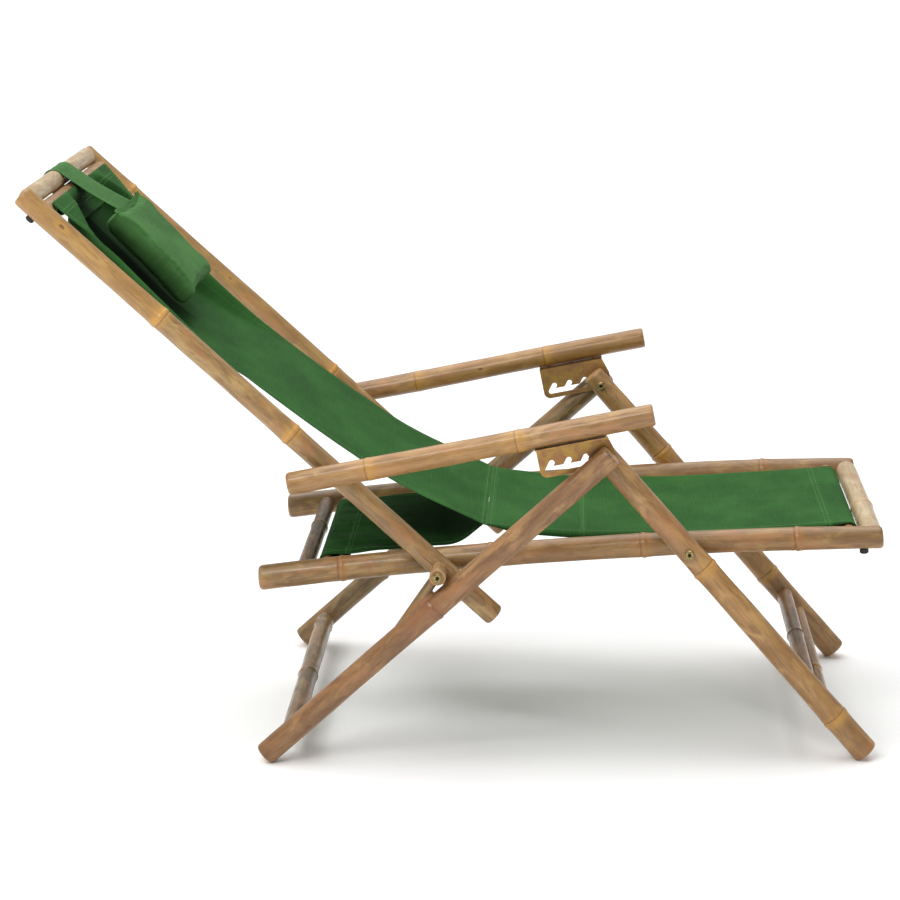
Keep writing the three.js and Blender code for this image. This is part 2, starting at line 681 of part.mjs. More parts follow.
// Cloth: a side view path of [x, z] centre points, given thickness, with a half width at each point
function clothStrip(path, halfWidths, thick, runs, ripple = () => 0) {
  const across = [];
  for (let j = 0; j <= runs; j += 1) across.push(-1 + (2 * j) / runs);
  const normals = path.map((place, i) => {
    const before = path[Math.max(i - 1, 0)];
    const after = path[Math.min(i + 1, path.length - 1)];
    const length = distance(before, after);
    return [-(after[1] - before[1]) / length, (after[0] - before[0]) / length];
  });
  const positions = [];
  const rows = path.length;
  const columns = across.length;
  for (const face of [1, -1]) {
    path.forEach((place, i) => {
      across.forEach((u) => {
        const shift = face * thick * half + ripple(i / (rows - 1), u);
        positions.push(place[0] + normals[i][0] * shift, u * halfWidths[i], place[1] + normals[i][1] * shift);
      });
    });
  }
  return fromSolid(sheetSolid(positions, rows, columns));
}

// Two faces of rows by columns points, front face first, closed round their edges
function sheetSolid(positions, rows, columns) {
  const at = (face, i, j) => face * rows * columns + i * columns + j;
  const index = [];
  const quad = (a, b, c, d) => index.push(a, b, c, a, c, d);
  for (let i = 0; i < rows - 1; i += 1) {
    for (let j = 0; j < columns - 1; j += 1) {
      quad(at(0, i, j), at(0, i + 1, j), at(0, i + 1, j + 1), at(0, i, j + 1));
      quad(at(1, i, j), at(1, i, j + 1), at(1, i + 1, j + 1), at(1, i + 1, j));
    }
    quad(at(0, i, 0), at(1, i, 0), at(1, i + 1, 0), at(0, i + 1, 0));
    quad(at(0, i, columns - 1), at(0, i + 1, columns - 1), at(1, i + 1, columns - 1), at(1, i, columns - 1));
  }
  for (let j = 0; j < columns - 1; j += 1) {
    quad(at(0, 0, j), at(0, 0, j + 1), at(1, 0, j + 1), at(1, 0, j));
    quad(at(0, rows - 1, j), at(1, rows - 1, j), at(1, rows - 1, j + 1), at(0, rows - 1, j + 1));
  }
  const geometry = new THREE.BufferGeometry();
  geometry.setAttribute('position', new THREE.Float32BufferAttribute(positions, 3));
  geometry.setIndex(index);
  const solid = toSolid(geometry);
  return solid.volume() < 0 ? toSolid(flipped(geometry)) : solid;
}

function flipped(geometry) {
  const copy = geometry.clone();
  const index = copy.index.array;
  for (let i = 0; i < index.length; i += 3) [index[i], index[i + 1]] = [index[i + 1], index[i]];
  return copy;
}

// Points round a bar from one angle to another, at the cloth's centre
function arcPoints(centre, radius, fromAngle, toAngle, steps) {
  const points = [];
  for (let i = 0; i <= steps; i += 1) {
    points.push(along(centre, fromAngle + (toAngle - fromAngle) * (i / steps), radius));
  }
  return points;
}

const seam = [backPivot[0] + seamAhead, backPivot[1] + seamRise];
const plainLoop = slingThick * half + slingClear;
const foldedLoop = plainLoop + foldDepth * half;
const offBack = backAngle - quarterTurn;
const slingBackPlace = (name) => along(
  along(backPivot, backAngle, backAbovePivot * slingUpShares[name]),
  offBack,
  slingOffRail[name],
);

function spread(path, count) {
  const curve = new THREE.CatmullRomCurve3(path.map((place) => point(place, 0)), false, 'centripetal');
  return curve.getSpacedPoints(count).map((p) => [p.x, p.z]);
}

// Main folds of the hanging cloth: long soft ripples that fade away from the loops
const loopFolds = (u, share) => {
  const fade = Math.max(0, 1 - share / foldFadeShare);
  return foldDepth * fade * Math.cos(u * foldCount * Math.PI) * half;
};

// A path whose last point is drawn back, so that the next piece of cloth clears it
const drawnBack = (path, cut) => {
  const [before, last] = path.slice(-2);
  return [...path.slice(0, -1), between(last, before, cut / distance(last, before))];
};

// The cloth from the top bar to the seam is one piece. Its stretch at the hips changes shape when the
// back is raised, so it is a node of its own.
const topSlingBarPlace = along(backPivot, backAngle, topSlingBarUp);
const topLoopRadius = topSlingBarRadius + foldedLoop;
const backRun = spread([
  along(topSlingBarPlace, offBack, topLoopRadius),
  slingBackPlace('upper'),
  slingBackPlace('middle'),
  slingBackPlace('lower'),
  seam,
], backRunSteps + hipRunSteps);

function addBackSling() {
  const loop = arcPoints(topSlingBarPlace, topLoopRadius, offBack - loopWrap, offBack, loopSteps);
  const path = drawnBack([...loop, ...backRun.slice(1, backRunSteps + 1)], clothSplit);
  const widths = path.map((place, i) => {
    const share = Math.max(0, (i - loopSteps) / backRunSteps);
    return slingTopHalfWidth + (slingHalfWidth - slingTopHalfWidth) * Math.min(1, share / half);
  });
  const ripple = (share, u) => loopFolds(u, Math.max(0, share - loopRunShare));
  addMesh('back_sling', clothStrip(path, widths, slingThick, slingRuns, ripple), materials.canvas);

  const hipPath = drawnBack(backRun.slice(backRunSteps), clothSplit);
  const hipWidths = hipPath.map(() => slingHalfWidth);
  addMesh('hip_sling', clothStrip(hipPath, hipWidths, slingThick, slingRuns), materials.canvas);
}

function addSeatSling() {
  const footBar = seatChordAt(seatBars.foot_sling_bar.share);
  const radius = footSlingBarRadius + foldedLoop;
  const loop = arcPoints(footBar, radius, quarterTurn, quarterTurn - loopWrap, loopSteps);
  const start = [seam[0] + clothSplit, seam[1]];
  const run = spread([start, between(start, loop[0], half), loop[0]], seatRunSteps);
  const path = [...run.slice(0, -1), ...loop];
  const widths = path.map((place, i) => {
    const share = Math.min(1, i / seatRunSteps);
    return slingHalfWidth + (slingFootHalfWidth - slingHalfWidth) * share;
  });
  const ripple = (share, u) => loopFolds(u, Math.max(0, 1 - loopRunShare - share));
  addMesh('seat_sling', clothStrip(path, widths, slingThick, slingRuns, ripple), materials.canvas);
}

// The rear piece ties the seam back to the bar behind the seat
function addRearSling() {
  const rearBar = seatChordAt(seatBars.rear_sling_bar.share);
  const radius = rearSlingBarRadius + plainLoop;
  const loop = arcPoints(rearBar, radius, quarterTurn + loopWrap, quarterTurn, loopSteps);
  const end = [seam[0] - rearSlingShort, seam[1] - rearSlingUnder];
  const middle = between(loop[loopSteps], end, half);
  middle[1] -= rearSlingSag;
  const path = [...loop, ...spread([loop[loopSteps], middle, end], rearRunSteps).slice(1)];
  const widths = path.map(() => rearSlingHalfWidth);
  addMesh('rear_sling', clothStrip(path, widths, slingThick, rearRuns), materials.canvas);
}

// Pillow: a crowned closed form whose sides pull in between its corners
const pillowTopUp = backAbovePivot - pillowFromTop;
const pillowTop = along(along(backPivot, backAngle, pillowTopUp), offBack, pillowTopClear);
const pillowFoot = along(along(backPivot, backAngle, pillowTopUp - pillowLength), offBack, pillowFootClear);
const pillowTilt = angleOf(pillowFoot, pillowTop);
const pillowOut = pillowTilt - quarterTurn;

function addPillow() {
  const middle = between(pillowFoot, pillowTop, half);
  const positions = [];
  const round = (share) => (1 - share ** 4) ** pillowRoundShare;
  const crown = (s, t) => pillowEdgeShare + (1 - pillowEdgeShare) * round(s) * round(t);
  for (const face of [1, -1]) {
    for (let i = 0; i <= pillowRows; i += 1) {
      for (let j = 0; j <= pillowColumns; j += 1) {
        const t = -1 + (2 * i) / pillowRows;
        const s = -1 + (2 * j) / pillowColumns;
        const up = t * (pillowLength * half - pillowPull * (1 - s * s));
        const across = s * (pillowHalfWidth - pillowPull * (1 - t * t));
        const out = pillowThick * half * (1 + face * crown(s, t));
        const place = along(along(middle, pillowTilt, up), pillowOut, out);
        positions.push(place[0], across, place[1]);
      }
    }
  }
  addMesh('pillow', fromSolid(sheetSolid(positions, pillowRows + 1, pillowColumns + 1)), materials.canvas);
}

// Strap: from the pillow's upper edge over the top bar and down behind it
function addStrap() {
  const topBar = along(backPivot, backAngle, topBarUp);
  const radius = topBarRadius + strapThick * half + slingClear;
  const overBar = arcPoints(topBar, radius, offBack, offBack + loopWrap, loopSteps);
  const pillowEdge = along(along(pillowTop, pillowTilt, runningGap), pillowOut, pillowThick * half);
  const tail = along(overBar[loopSteps], backAngle + 2 * quarterTurn, strapTailLength);
  const front = spread([pillowEdge, between(pillowEdge, overBar[0], half), overBar[0]], strapRunSteps);
  const path = [...front.slice(0, -1), ...overBar, tail];
  const widths = path.map(() => strapHalfWidth);
  addMesh('pillow_strap', clothStrip(path, widths, strapThick, strapRuns), materials.canvas);
}

addSeatFrame();
addBackFrame();
addFrontLegs();
addRearLegs();
addPivotHardware();
addArmrests();
addBumpers();
addBackSling();
addSeatSling();
addRearSling();
addPillow();
addStrap();

// The origin goes to the middle of the chair's footprint, on the floor
const bounds = new THREE.Box3().setFromObject(group);
const centre = bounds.getCenter(new THREE.Vector3());
group.position.set(-centre.x, -centre.y, -bounds.min.z);

export default group;
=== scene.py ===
"""Bamboo folding recliner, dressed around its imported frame.

Metres, +X towards the foot end, -Y the near side, +Z up. A place in the side view is an (x, z) pair.
"""
import json
import math

import bpy
import numpy as np
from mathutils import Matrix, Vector


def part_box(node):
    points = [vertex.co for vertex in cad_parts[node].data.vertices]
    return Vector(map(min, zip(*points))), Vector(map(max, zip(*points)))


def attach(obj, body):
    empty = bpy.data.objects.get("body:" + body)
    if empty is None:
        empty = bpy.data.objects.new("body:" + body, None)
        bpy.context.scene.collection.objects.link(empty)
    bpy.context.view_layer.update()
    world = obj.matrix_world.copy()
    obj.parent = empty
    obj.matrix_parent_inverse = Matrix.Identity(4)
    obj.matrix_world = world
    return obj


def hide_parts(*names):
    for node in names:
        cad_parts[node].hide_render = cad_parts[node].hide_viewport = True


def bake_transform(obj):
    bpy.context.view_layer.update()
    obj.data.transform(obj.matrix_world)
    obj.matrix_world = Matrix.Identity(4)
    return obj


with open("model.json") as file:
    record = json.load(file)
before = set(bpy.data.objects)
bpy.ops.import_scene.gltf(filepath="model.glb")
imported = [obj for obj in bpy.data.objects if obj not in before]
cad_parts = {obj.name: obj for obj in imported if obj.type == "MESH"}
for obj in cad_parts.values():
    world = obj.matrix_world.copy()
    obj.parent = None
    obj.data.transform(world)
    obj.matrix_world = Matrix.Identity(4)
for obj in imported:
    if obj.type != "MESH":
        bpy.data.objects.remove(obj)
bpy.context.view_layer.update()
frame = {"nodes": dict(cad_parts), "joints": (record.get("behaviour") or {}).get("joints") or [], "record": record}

# Camera, fitted to the photograph
FOCAL_PX = 2697.2
IMAGE_PX = 900
SENSOR_MM = 36.0
CAMERA_PITCH = 13.343
CAMERA_YAW = -2.624
CAMERA_ROLL = -0.28
CAMERA_FROM_LEG_PIVOT = (-0.2003, -4.673, 1.214)

# Sizes of the side view: the CAD's, or the photograph's where the CAD is a little off
FRONT_LEG = {"below": 0.451, "top_reach": 0.024, "foot_reach": 0.01585}
REAR_LEG = {"angle": 42.03, "length": 0.7584, "top_reach": 0.017, "foot_reach": 0.014}
BACK = {"above": 0.916, "below": 0.128}
BACK_REACH = 0.932
SEAT = {"angle": 4.32, "behind": 0.733, "ahead": 0.329, "drop": 0.0092, "bow": 0.015}
ARM = {"angle": 11.36, "behind": 0.070, "ahead": 0.549}

# Layers across the chair
SEAT_Y = 0.245
INNER_Y = 0.289
OUTER_Y = 0.3336

# Radii
SEAT_R = (0.0218, 0.0196)
BACK_R = (0.0186, 0.0180)
FRONT_LEG_R = (0.0200, 0.0215)
REAR_LEG_R = 0.0200
ARM_R = (0.0194, 0.0184)
TENON_SINK = 0.006

# Crossbars: distance from the end of their rail or leg, and radius; the top sling bar's is up from the pivot
TOP_BAR = (0.012, 0.0165)
TOP_SLING_BAR = (0.887, 0.0145)
FOOT_BAR = (0.016, 0.0182)
FOOT_SLING_BAR = (0.053, 0.012)
REAR_BAR = (0.075, 0.014)
REAR_SLING_BAR = (0.112, 0.012)
REAR_STRETCHER = (0.046, 0.0170)
FRONT_STRETCHER = (0.134, 0.014)
LOW_STRETCHER = (0.093, 0.011)

# Fork of the rear leg: its branch, the web between them, and the peg in it
FORK_ROOT = 0.512
FORK_SIDE = 0.044
FORK_R = (0.0092, 0.0084)
CROTCH_AT = 0.151
SCAR_AT = 0.128
WEB_START = 0.046
WEB_THICK = (0.0196, 0.0090)
PEG_R = 0.014
PEG_Y = 0.3598
GAP = 0.0003

# Bolts, and the number of sides of what is turned
BOLT_HEAD_R = 0.0090
BOLT_HEAD_TALL = 0.0050
BOLT_SHANK_R = 0.0030
BOLT_SOCKET_R = 0.0034
TURNED_SIDES = 48

# Lines of the three slings: share of the way along, and height over the back's rail or the straight line
BACK_LINE = ((0.72, 0.0062), (0.55, 0.0024), (0.39, 0.0125), (0.25, 0.0275), (0.144, 0.044))
SEAT_LINE = ((0.14, -0.0095), (0.27, -0.0160), (0.42, -0.0168), (0.58, -0.0155), (0.8, -0.0080),
             (0.93, -0.0020))
REAR_LINE = ((0.14, 0.004), (0.34, 0.0095), (0.62, 0.0165), (0.82, 0.0235))

# Cloth
CLOTH_THICK = 0.0014
FOLD_THICK = 0.0005
CLOTH_STEP = 0.0035
SLING_COLUMNS = 121
REAR_COLUMNS = 101
BACK_SAG = 0.036
SLING_HALF = 0.212
SLING_TOP_HALF = 0.196
SLING_LOOP_HALF = 0.256
SLING_FOOT_HALF = 0.205
REAR_SLING_HALF = 0.192
STRAP_HALF = 0.055
SEAM_AT = (0.076, 0.052)
LOOP_CLEAR = 0.0026
LOOP_SEAM = 0.024
FOOT_LOOP_SEAM = 0.034
HEM = 0.016
STITCH = {"pitch": 0.0042, "length": 0.0029, "radius": 0.00042, "raised": 0.0006, "from_hem": 0.002}

# Pillow: its place up the back and off it, its size, how far its sides draw in, and how it is filled
PILLOW = {"top_up": 0.810, "top_off": 0.0148, "foot_off": 0.0020, "y": -0.027, "turn": 0.006,
          "half_width": 0.123, "length": 0.206, "thick": 0.052, "pull": 0.006}
PILLOW_VOXEL = 0.005
PILLOW_PRESSURE = 3.0
PILLOW_SWELL = 0.0055
PILLOW_FRAMES = 20

# Light
WORLD_LIGHT = 0.54
KEY = {"direction": (0.16, -0.34, -1.0), "power": 2.25, "spread": 72}
STRIPE = {"place": (-1.2, -2.4, 3.0), "aim": (0, 0, 0.4), "power": 62, "size": (2.6, 0.5)}
FLOOR_REACH = 90.0

SIDES = {"near": -1, "far": 1}


def linear(red, green, blue):
    """An sRGB colour of 0 to 255 as a linear RGBA."""
    channels = [((c / 255 + 0.055) / 1.055) ** 2.4 if c > 10 else c / 3294.6 for c in (red, green, blue)]
    return (*channels, 1.0)


def joint_place(name):
    place = next(joint["pos_m"] for joint in frame["joints"] if joint["name"] == name)
    return np.array([place[0], place[2]])


def along(place, angle, distance):
    turn = math.radians(angle)
    return np.array([place[0] + math.cos(turn) * distance, place[1] + math.sin(turn) * distance])


def bell(value, middle, width):
    """1 at the middle, and falling off on either side of it."""
    return np.exp(-((value - middle) / width) ** 2)


def angle_of(a, b):
    return math.degrees(math.atan2(b[1] - a[1], b[0] - a[0]))


def at_y(place, y):
    return np.array([place[0], y, place[1]])


# Places of the pivots and pole ends
LEG_PIVOT = joint_place("leg_fold")
TOP_PIVOT = joint_place("rear_leg_fold")
BACK_PIVOT = joint_place("recline")
ARM_PIVOT = joint_place("arm_fold")
FRONT_ANGLE = angle_of(LEG_PIVOT, TOP_PIVOT)
BACK_ANGLE = angle_of(BACK_PIVOT, ARM_PIVOT)
FRONT_FOOT = along(LEG_PIVOT, FRONT_ANGLE, -FRONT_LEG["below"])
REAR_FOOT = along(TOP_PIVOT, REAR_LEG["angle"], -REAR_LEG["length"])
BACK_FOOT = along(BACK_PIVOT, BACK_ANGLE, -BACK["below"])
OFF_BACK = BACK_ANGLE - 90
SEAT_BASE = LEG_PIVOT - np.array([0, SEAT["drop"]])
SEAT_REAR = along(SEAT_BASE, SEAT["angle"], -SEAT["behind"])
SEAT_FRONT = along(SEAT_BASE, SEAT["angle"], SEAT["ahead"])
SEAT_LENGTH = SEAT["behind"] + SEAT["ahead"]
SEAM = BACK_PIVOT + np.array(SEAM_AT)


def on_seat(share):
    """A place on the seat rail's bowed centre line."""
    place = SEAT_REAR + (SEAT_FRONT - SEAT_REAR) * share
    return place + np.array([0, 4 * SEAT["bow"] * share * (1 - share)])


def on_back(up, off=0.0):
    """A place up the back from its pivot, and off its rail's centre line on the sitter's side."""
    return along(along(BACK_PIVOT, BACK_ANGLE, up), OFF_BACK, off)


PILLOW_TOP = on_back(PILLOW["top_up"], PILLOW["top_off"])
PILLOW_FOOT = on_back(PILLOW["top_up"] - PILLOW["length"], PILLOW["foot_off"])
PILLOW_MIDDLE = (PILLOW_FOOT + PILLOW_TOP) / 2
PILLOW_TILT = angle_of(PILLOW_FOOT, PILLOW_TOP)


# Meshes from arrays
def grid_faces(rows, columns, closed=False):
    """Quads between rows of points; a closed grid joins its last column to its first."""
    i, j = np.meshgrid(np.arange(rows - 1), np.arange(columns if closed else columns - 1), indexing="ij")
    k = (j + 1) % columns
    here, beyond = i * columns, (i + 1) * columns
    return np.stack([here + j, here + k, beyond + k, beyond + j], -1).reshape(-1, 4)


def tube_faces(rows, columns):
    """Quads round a tube of points, and a flat face on either end."""
    faces = grid_faces(rows, columns, closed=True).tolist()
    faces.append(list(range(columns))[::-1])
    faces.append(list(range((rows - 1) * columns, rows * columns)))
    return faces


def slab_faces(rows, columns):
    """Quads of a slab: an upper grid, a lower grid and the four walls between their edges."""
    count = rows * columns
    quads = grid_faces(rows, columns)
    faces = [quads, quads[:, ::-1] + count]
    lanes, steps = np.arange(columns - 1), np.arange(rows - 1) * columns
    walls = ((lanes, 1, True), (lanes + count - columns, 1, False),
             (steps, columns, False), (steps + columns - 1, columns, True))
    for start, step, turned_over in walls:
        wall = np.stack([start, start + step, start + step + count, start + count], -1)
        faces.append(wall[:, [0, 3, 2, 1]] if turned_over else wall)
    return np.vstack(faces)


def set_attribute(mesh, key, values):
    values = np.asarray(values, np.float32)
    kind, field = ("FLOAT_VECTOR", "vector") if values.ndim == 2 else ("FLOAT", "value")
    attribute = mesh.attributes.get(key) or mesh.attributes.new(key, kind, "POINT")
    attribute.data.foreach_set(field, values.ravel())


def add_object(name, data):
    new = bpy.data.objects.new(name, data)
    bpy.context.collection.objects.link(new)
    return new


def make_piece(name, points, faces, material, body, replaces=(), smooth_angle=50, attributes=None):
    mesh = bpy.data.meshes.new(name)
    mesh.from_pydata(np.asarray(points, float).tolist(), [], [list(map(int, face)) for face in faces])
    mesh.validate()
    for key, values in (attributes or {}).items():
        set_attribute(mesh, key, values)
    mesh.update()
    mesh.shade_smooth()
    mesh.set_sharp_from_angle(angle=math.radians(smooth_angle))
    mesh.materials.append(material)
    piece = add_object(name, mesh)
    if body:
        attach(piece, body)
    if replaces:
        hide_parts(*replaces)
    return piece


def side_vectors(direction):
    """Two unit vectors square to a direction, the first as near to up as it can be."""
    direction = direction / np.linalg.norm(direction)
    up = np.array([0, 0, 1.0]) if abs(direction[2]) < 0.95 else np.array([1.0, 0, 0])
    first = up - direction * np.dot(up, direction)
    first /= np.linalg.norm(first)
    return first, np.cross(direction, first)


# Materials
class Nodes:
    """Short forms for building a material's node tree."""

    def __init__(self, name):
        self.material = bpy.data.materials.new(name)
        self.material.use_nodes = True
        self.tree = self.material.node_tree
        self.shader = self.tree.nodes["Principled BSDF"]

    def add(self, kind, inputs=None, **settings):
        node = self.tree.nodes.new(kind)
        for key, value in settings.items():
            setattr(node, key, value)
        for key, value in (inputs or {}).items():
            self.put(node.inputs[key], value)
        return node

    def put(self, socket, value):
        if isinstance(value, bpy.types.NodeSocket):
            self.tree.links.new(value, socket)
        else:
            socket.default_value = value

    def math(self, operation, a, b):
        return self.add("ShaderNodeMath", {0: a, 1: b}, operation=operation).outputs[0]

    def times(self, a, b):
        return self.math("MULTIPLY", a, b)

    def plus(self, a, b):
        return self.math("ADD", a, b)

    def attribute(self, name, output="Fac"):
        return self.add("ShaderNodeAttribute", attribute_name=name).outputs[output]

    def place(self):
        return self.add("ShaderNodeTexCoord").outputs["Object"]

    def noise(self, vector, scale=1.0, detail=3.0, roughness=0.55, distortion=0.0):
        inputs = {"Vector": vector, "Scale": scale, "Detail": detail, "Roughness": roughness,
                  "Distortion": distortion}
        return self.add("ShaderNodeTexNoise", inputs).outputs["Fac"]

    def stretch(self, vector, scale):
        return self.add("ShaderNodeVectorMath", {0: vector, 1: scale}, operation="MULTIPLY").outputs[0]

    def ramp(self, value, low, high, start=0.0, end=1.0):
        inputs = {"Value": value, "From Min": low, "From Max": high, "To Min": start, "To Max": end}
        return self.add("ShaderNodeMapRange", inputs, interpolation_type="SMOOTHSTEP").outputs["Result"]

    def mix(self, share, a, b):
        node = self.add("ShaderNodeMix", {"Factor": share}, data_type="RGBA")
        self.put(node.inputs[6], a)
        self.put(node.inputs[7], b)
        return node.outputs[2]

    def coats(self, colour, *coats):
        """A colour under coats of paint, each given as the share it covers and its colour."""
        for share, coat in coats:
            colour = self.mix(share, colour, coat)
        return colour

    def bump(self, height, strength, distance, normal=None):
        inputs = {"Height": height, "Strength": strength, "Distance": distance}
        node = self.add("ShaderNodeBump", inputs)
        if normal is not None:
            self.put(node.inputs["Normal"], normal)
        return node.outputs["Normal"]

    def finish(self, **sockets):
        for key, value in sockets.items():
            self.put(self.shader.inputs[key.replace("_", " ")], value)
        return self.material


KNOT_BROWN = linear(74, 46, 26)
BLUSH_BROWN = linear(166, 112, 66)
STAIN_BROWN = linear(132, 82, 46)
END_GRAIN = (linear(150, 108, 66), linear(190, 150, 100))
# Painted shade: the near-black green laid on cloth where it lies in shadow
PAINTED_SHADE_GREEN = linear(9, 22, 8)


def bamboo_material(name, *colours, rough=0.42):
    """Varnished cane: fibres and streaks along its length, blotches, knots, rings at its joints and cut ends.

    Its colours are the light, middle and dark ones of the cane and that of its rings.
    """
    light, middle, dark, ring = (linear(*colour) for colour in colours)
    n = Nodes(name)
    grain = n.attribute("grain", "Vector")

    def grained(across, lengthwise, detail=3.0, roughness=0.6, distortion=0.0):
        return n.noise(n.stretch(grain, (across, across, lengthwise)), 1.0, detail, roughness, distortion)

    fibres = grained(420, 26)
    streaks = grained(105, 11, 5.0, 0.66, 0.25)
    blotches = grained(40, 18, 4.0, 0.6, 0.8)
    blush = grained(30, 13, 3.0, 0.6, 0.5)
    drift = grained(24, 8, 3.0, 0.55)
    crack = n.ramp(grained(250, 4.5, 1.0, 0.4, 0.35), 0.245, 0.205, 0.0, 0.75)
    cells = n.add("ShaderNodeTexVoronoi", {"Vector": n.stretch(grain, (14, 14, 7.5)), "Scale": 1.0})
    spot = cells.outputs["Distance"]
    knot = n.ramp(spot, 0.055, 0.030)
    halo = n.ramp(spot, 0.17, 0.07, 0.0, 0.32)
    ring_wear = n.ramp(grained(60, 60, 2.0, 0.55), 0.3, 0.6, 0.45, 0.9)
    stain = n.times(n.attribute("stain"), n.ramp(blotches, 0.3, 0.62, 0.5, 1.0))
    cut = n.attribute("cut")
    colour = n.coats(
        dark,
        (n.ramp(streaks, 0.34, 0.68), middle),
        (n.ramp(blotches, 0.42, 0.72, 0.0, 0.85), light),
        (n.ramp(fibres, 0.30, 0.50, 0.66, 0.0), dark),
        (n.ramp(drift, 0.48, 0.72, 0.0, 0.6), dark),
        (n.ramp(blush, 0.50, 0.70, 0.0, 0.52), BLUSH_BROWN),
        (n.ramp(n.attribute("tone"), 0.0, 1.0, 0.0, 0.24), ring),
        (halo, ring),
        (n.times(knot, 0.7), KNOT_BROWN),
        (crack, KNOT_BROWN),
        (n.times(n.attribute("ring"), ring_wear), ring),
        (n.times(n.attribute("groove"), 0.62), KNOT_BROWN),
        (n.times(stain, 0.8), STAIN_BROWN),
        (cut, n.mix(n.noise(grain, 900.0), *END_GRAIN)),
    )
    roughness = n.plus(n.ramp(streaks, 0.3, 0.7, rough + 0.12, rough - 0.05), n.times(cut, 0.3))
    normal = n.bump(n.plus(fibres, streaks), 0.22, 0.0009)
    normal = n.bump(n.times(crack, -1.0), 0.5, 0.0012, normal)
    normal = n.bump(n.math("SUBTRACT", halo, n.times(knot, 1.6)), 0.5, 0.0012, normal)
    return n.finish(Base_Color=colour, Roughness=roughness, Normal=normal,
                    Coat_Weight=0.32, Coat_Roughness=0.2)


def canvas_material(name, *colours):
    """Woven cotton canvas: fine weave, uneven yarns both ways, faint wear at its seams, and painted shade that
    darkens it and dulls its shine where it lies in shadow.
    """
    light, middle, dark = (linear(*colour) for colour in colours)
    n = Nodes(name)
    cloth = n.attribute("cloth", "Vector")
    weft = n.noise(n.stretch(cloth, (12, 900, 1)), roughness=0.6)
    warp = n.noise(n.stretch(cloth, (900, 12, 1)), roughness=0.6)
    patches = n.noise(n.stretch(cloth, (7, 9, 1)), detail=4.0)
    painted_shade = n.attribute("painted_shade")
    colour = n.coats(
        dark,
        (n.ramp(patches, 0.32, 0.7), middle),
        (n.ramp(weft, 0.45, 0.75, 0.0, 0.45), light),
        (n.ramp(warp, 0.52, 0.75, 0.0, 0.30), dark),
        (n.times(n.attribute("seam"), 0.34), light),
        # painted shade: near-black green laid where the cloth lies in shadow
        (n.times(painted_shade, 0.88), PAINTED_SHADE_GREEN),
    )
    waves = {"Vector": cloth, "Scale": 190.0}
    yarns = [n.add("ShaderNodeTexWave", waves, bands_direction=axis).outputs["Fac"] for axis in "XY"]
    normal = n.bump(n.times(*yarns), 0.35, 0.0003)
    normal = n.bump(n.plus(weft, warp), 0.16, 0.0006, normal)
    # painted shade also lowers the specular shine
    shine = n.ramp(painted_shade, 0.0, 0.7, 0.16, 0.04)
    return n.finish(Base_Color=colour, Roughness=0.86, Normal=normal, Specular_IOR_Level=shine)


def metal_material(name, base, other, roughness, scale=60.0):
    """Plated steel: a mottled film over fine brushing."""
    n = Nodes(name)
    mottle = n.noise(n.place(), scale, 3.0, 0.6, 0.5)
    brush = n.noise(n.stretch(n.place(), (60, 900, 900)), detail=2.0)
    colour = n.mix(n.ramp(mottle, 0.35, 0.68), linear(*base), linear(*other))
    rough = n.ramp(brush, 0.3, 0.7, roughness - 0.06, roughness + 0.1)
    return n.finish(Base_Color=colour, Roughness=rough, Normal=n.bump(brush, 0.08, 0.0003), Metallic=0.85)


def speckled_material(name, dark, light, speckle, roughness, grain, depth, distance):
    """A plain material of two close colours, with a fine grain."""
    n = Nodes(name)
    colour = n.mix(n.noise(n.place(), speckle), linear(*dark), linear(*light))
    normal = n.bump(n.noise(n.place(), grain), depth, distance)
    return n.finish(Base_Color=colour, Roughness=roughness, Normal=normal)


TAN = bamboo_material("tan cane", (184, 146, 92), (158, 120, 72), (118, 82, 44), (180, 132, 57))
RAIL = bamboo_material("seat cane", (164, 132, 77), (138, 106, 57), (104, 74, 37), (150, 100, 45))
AMBER = bamboo_material("amber cane", (180, 148, 93), (156, 124, 74), (116, 86, 49), (194, 140, 57))
UMBER = bamboo_material("umber cane", (170, 130, 82), (146, 106, 62), (106, 72, 40), (128, 84, 45))
OLIVE = bamboo_material("olive cane", (158, 132, 84), (128, 102, 60), (90, 68, 38), (134, 100, 54))
PALE = bamboo_material("pale cane", (206, 190, 158), (190, 168, 130), (162, 136, 98), (186, 148, 100),
                       rough=0.5)
GREY = bamboo_material("weathered cane", (138, 110, 68), (112, 84, 48), (74, 54, 31), (140, 104, 62),
                       rough=0.55)
CANVAS = canvas_material("green canvas", (62, 114, 52), (46, 93, 39), (34, 76, 30))
FADED = canvas_material("pillow canvas", (92, 140, 80), (72, 116, 62), (56, 96, 48))
PASSIVATED = metal_material("passivated steel", (170, 136, 74), (150, 110, 78), 0.40)
ZINC = metal_material("zinc steel", (168, 148, 100), (126, 106, 68), 0.34, 200.0)
# Painted shade: a dark metal for a disc on the floor of each bolt's socket, standing in for the hole's shade
PAINTED_SOCKET_SHADE = metal_material("socket shade", (74, 62, 40), (46, 38, 24), 0.6)
RUBBER = speckled_material("black rubber", (20, 20, 20), (38, 37, 36), 90.0, 0.72, 900.0, 0.2, 0.0003)
THREAD = speckled_material("green thread", (72, 118, 66), (96, 140, 86), 400.0, 0.7, 2500.0, 0.3, 0.0002)


# Canes: step along, widths of what a ring does, radius at which the grain is read, steps of a cut end
CANE_STEP = 0.006
RING = {"reach": 0.014, "ridge": 0.0032, "swell": 0.012, "groove_at": -0.0058, "groove": 0.0011,
        "colour": 0.0115}
GRAIN_R = 0.02
CAP_RINGS = ((0.86, 0.0002), (0.55, 0.0003), (0.22, 0.0006), (0.16, 0.0026))


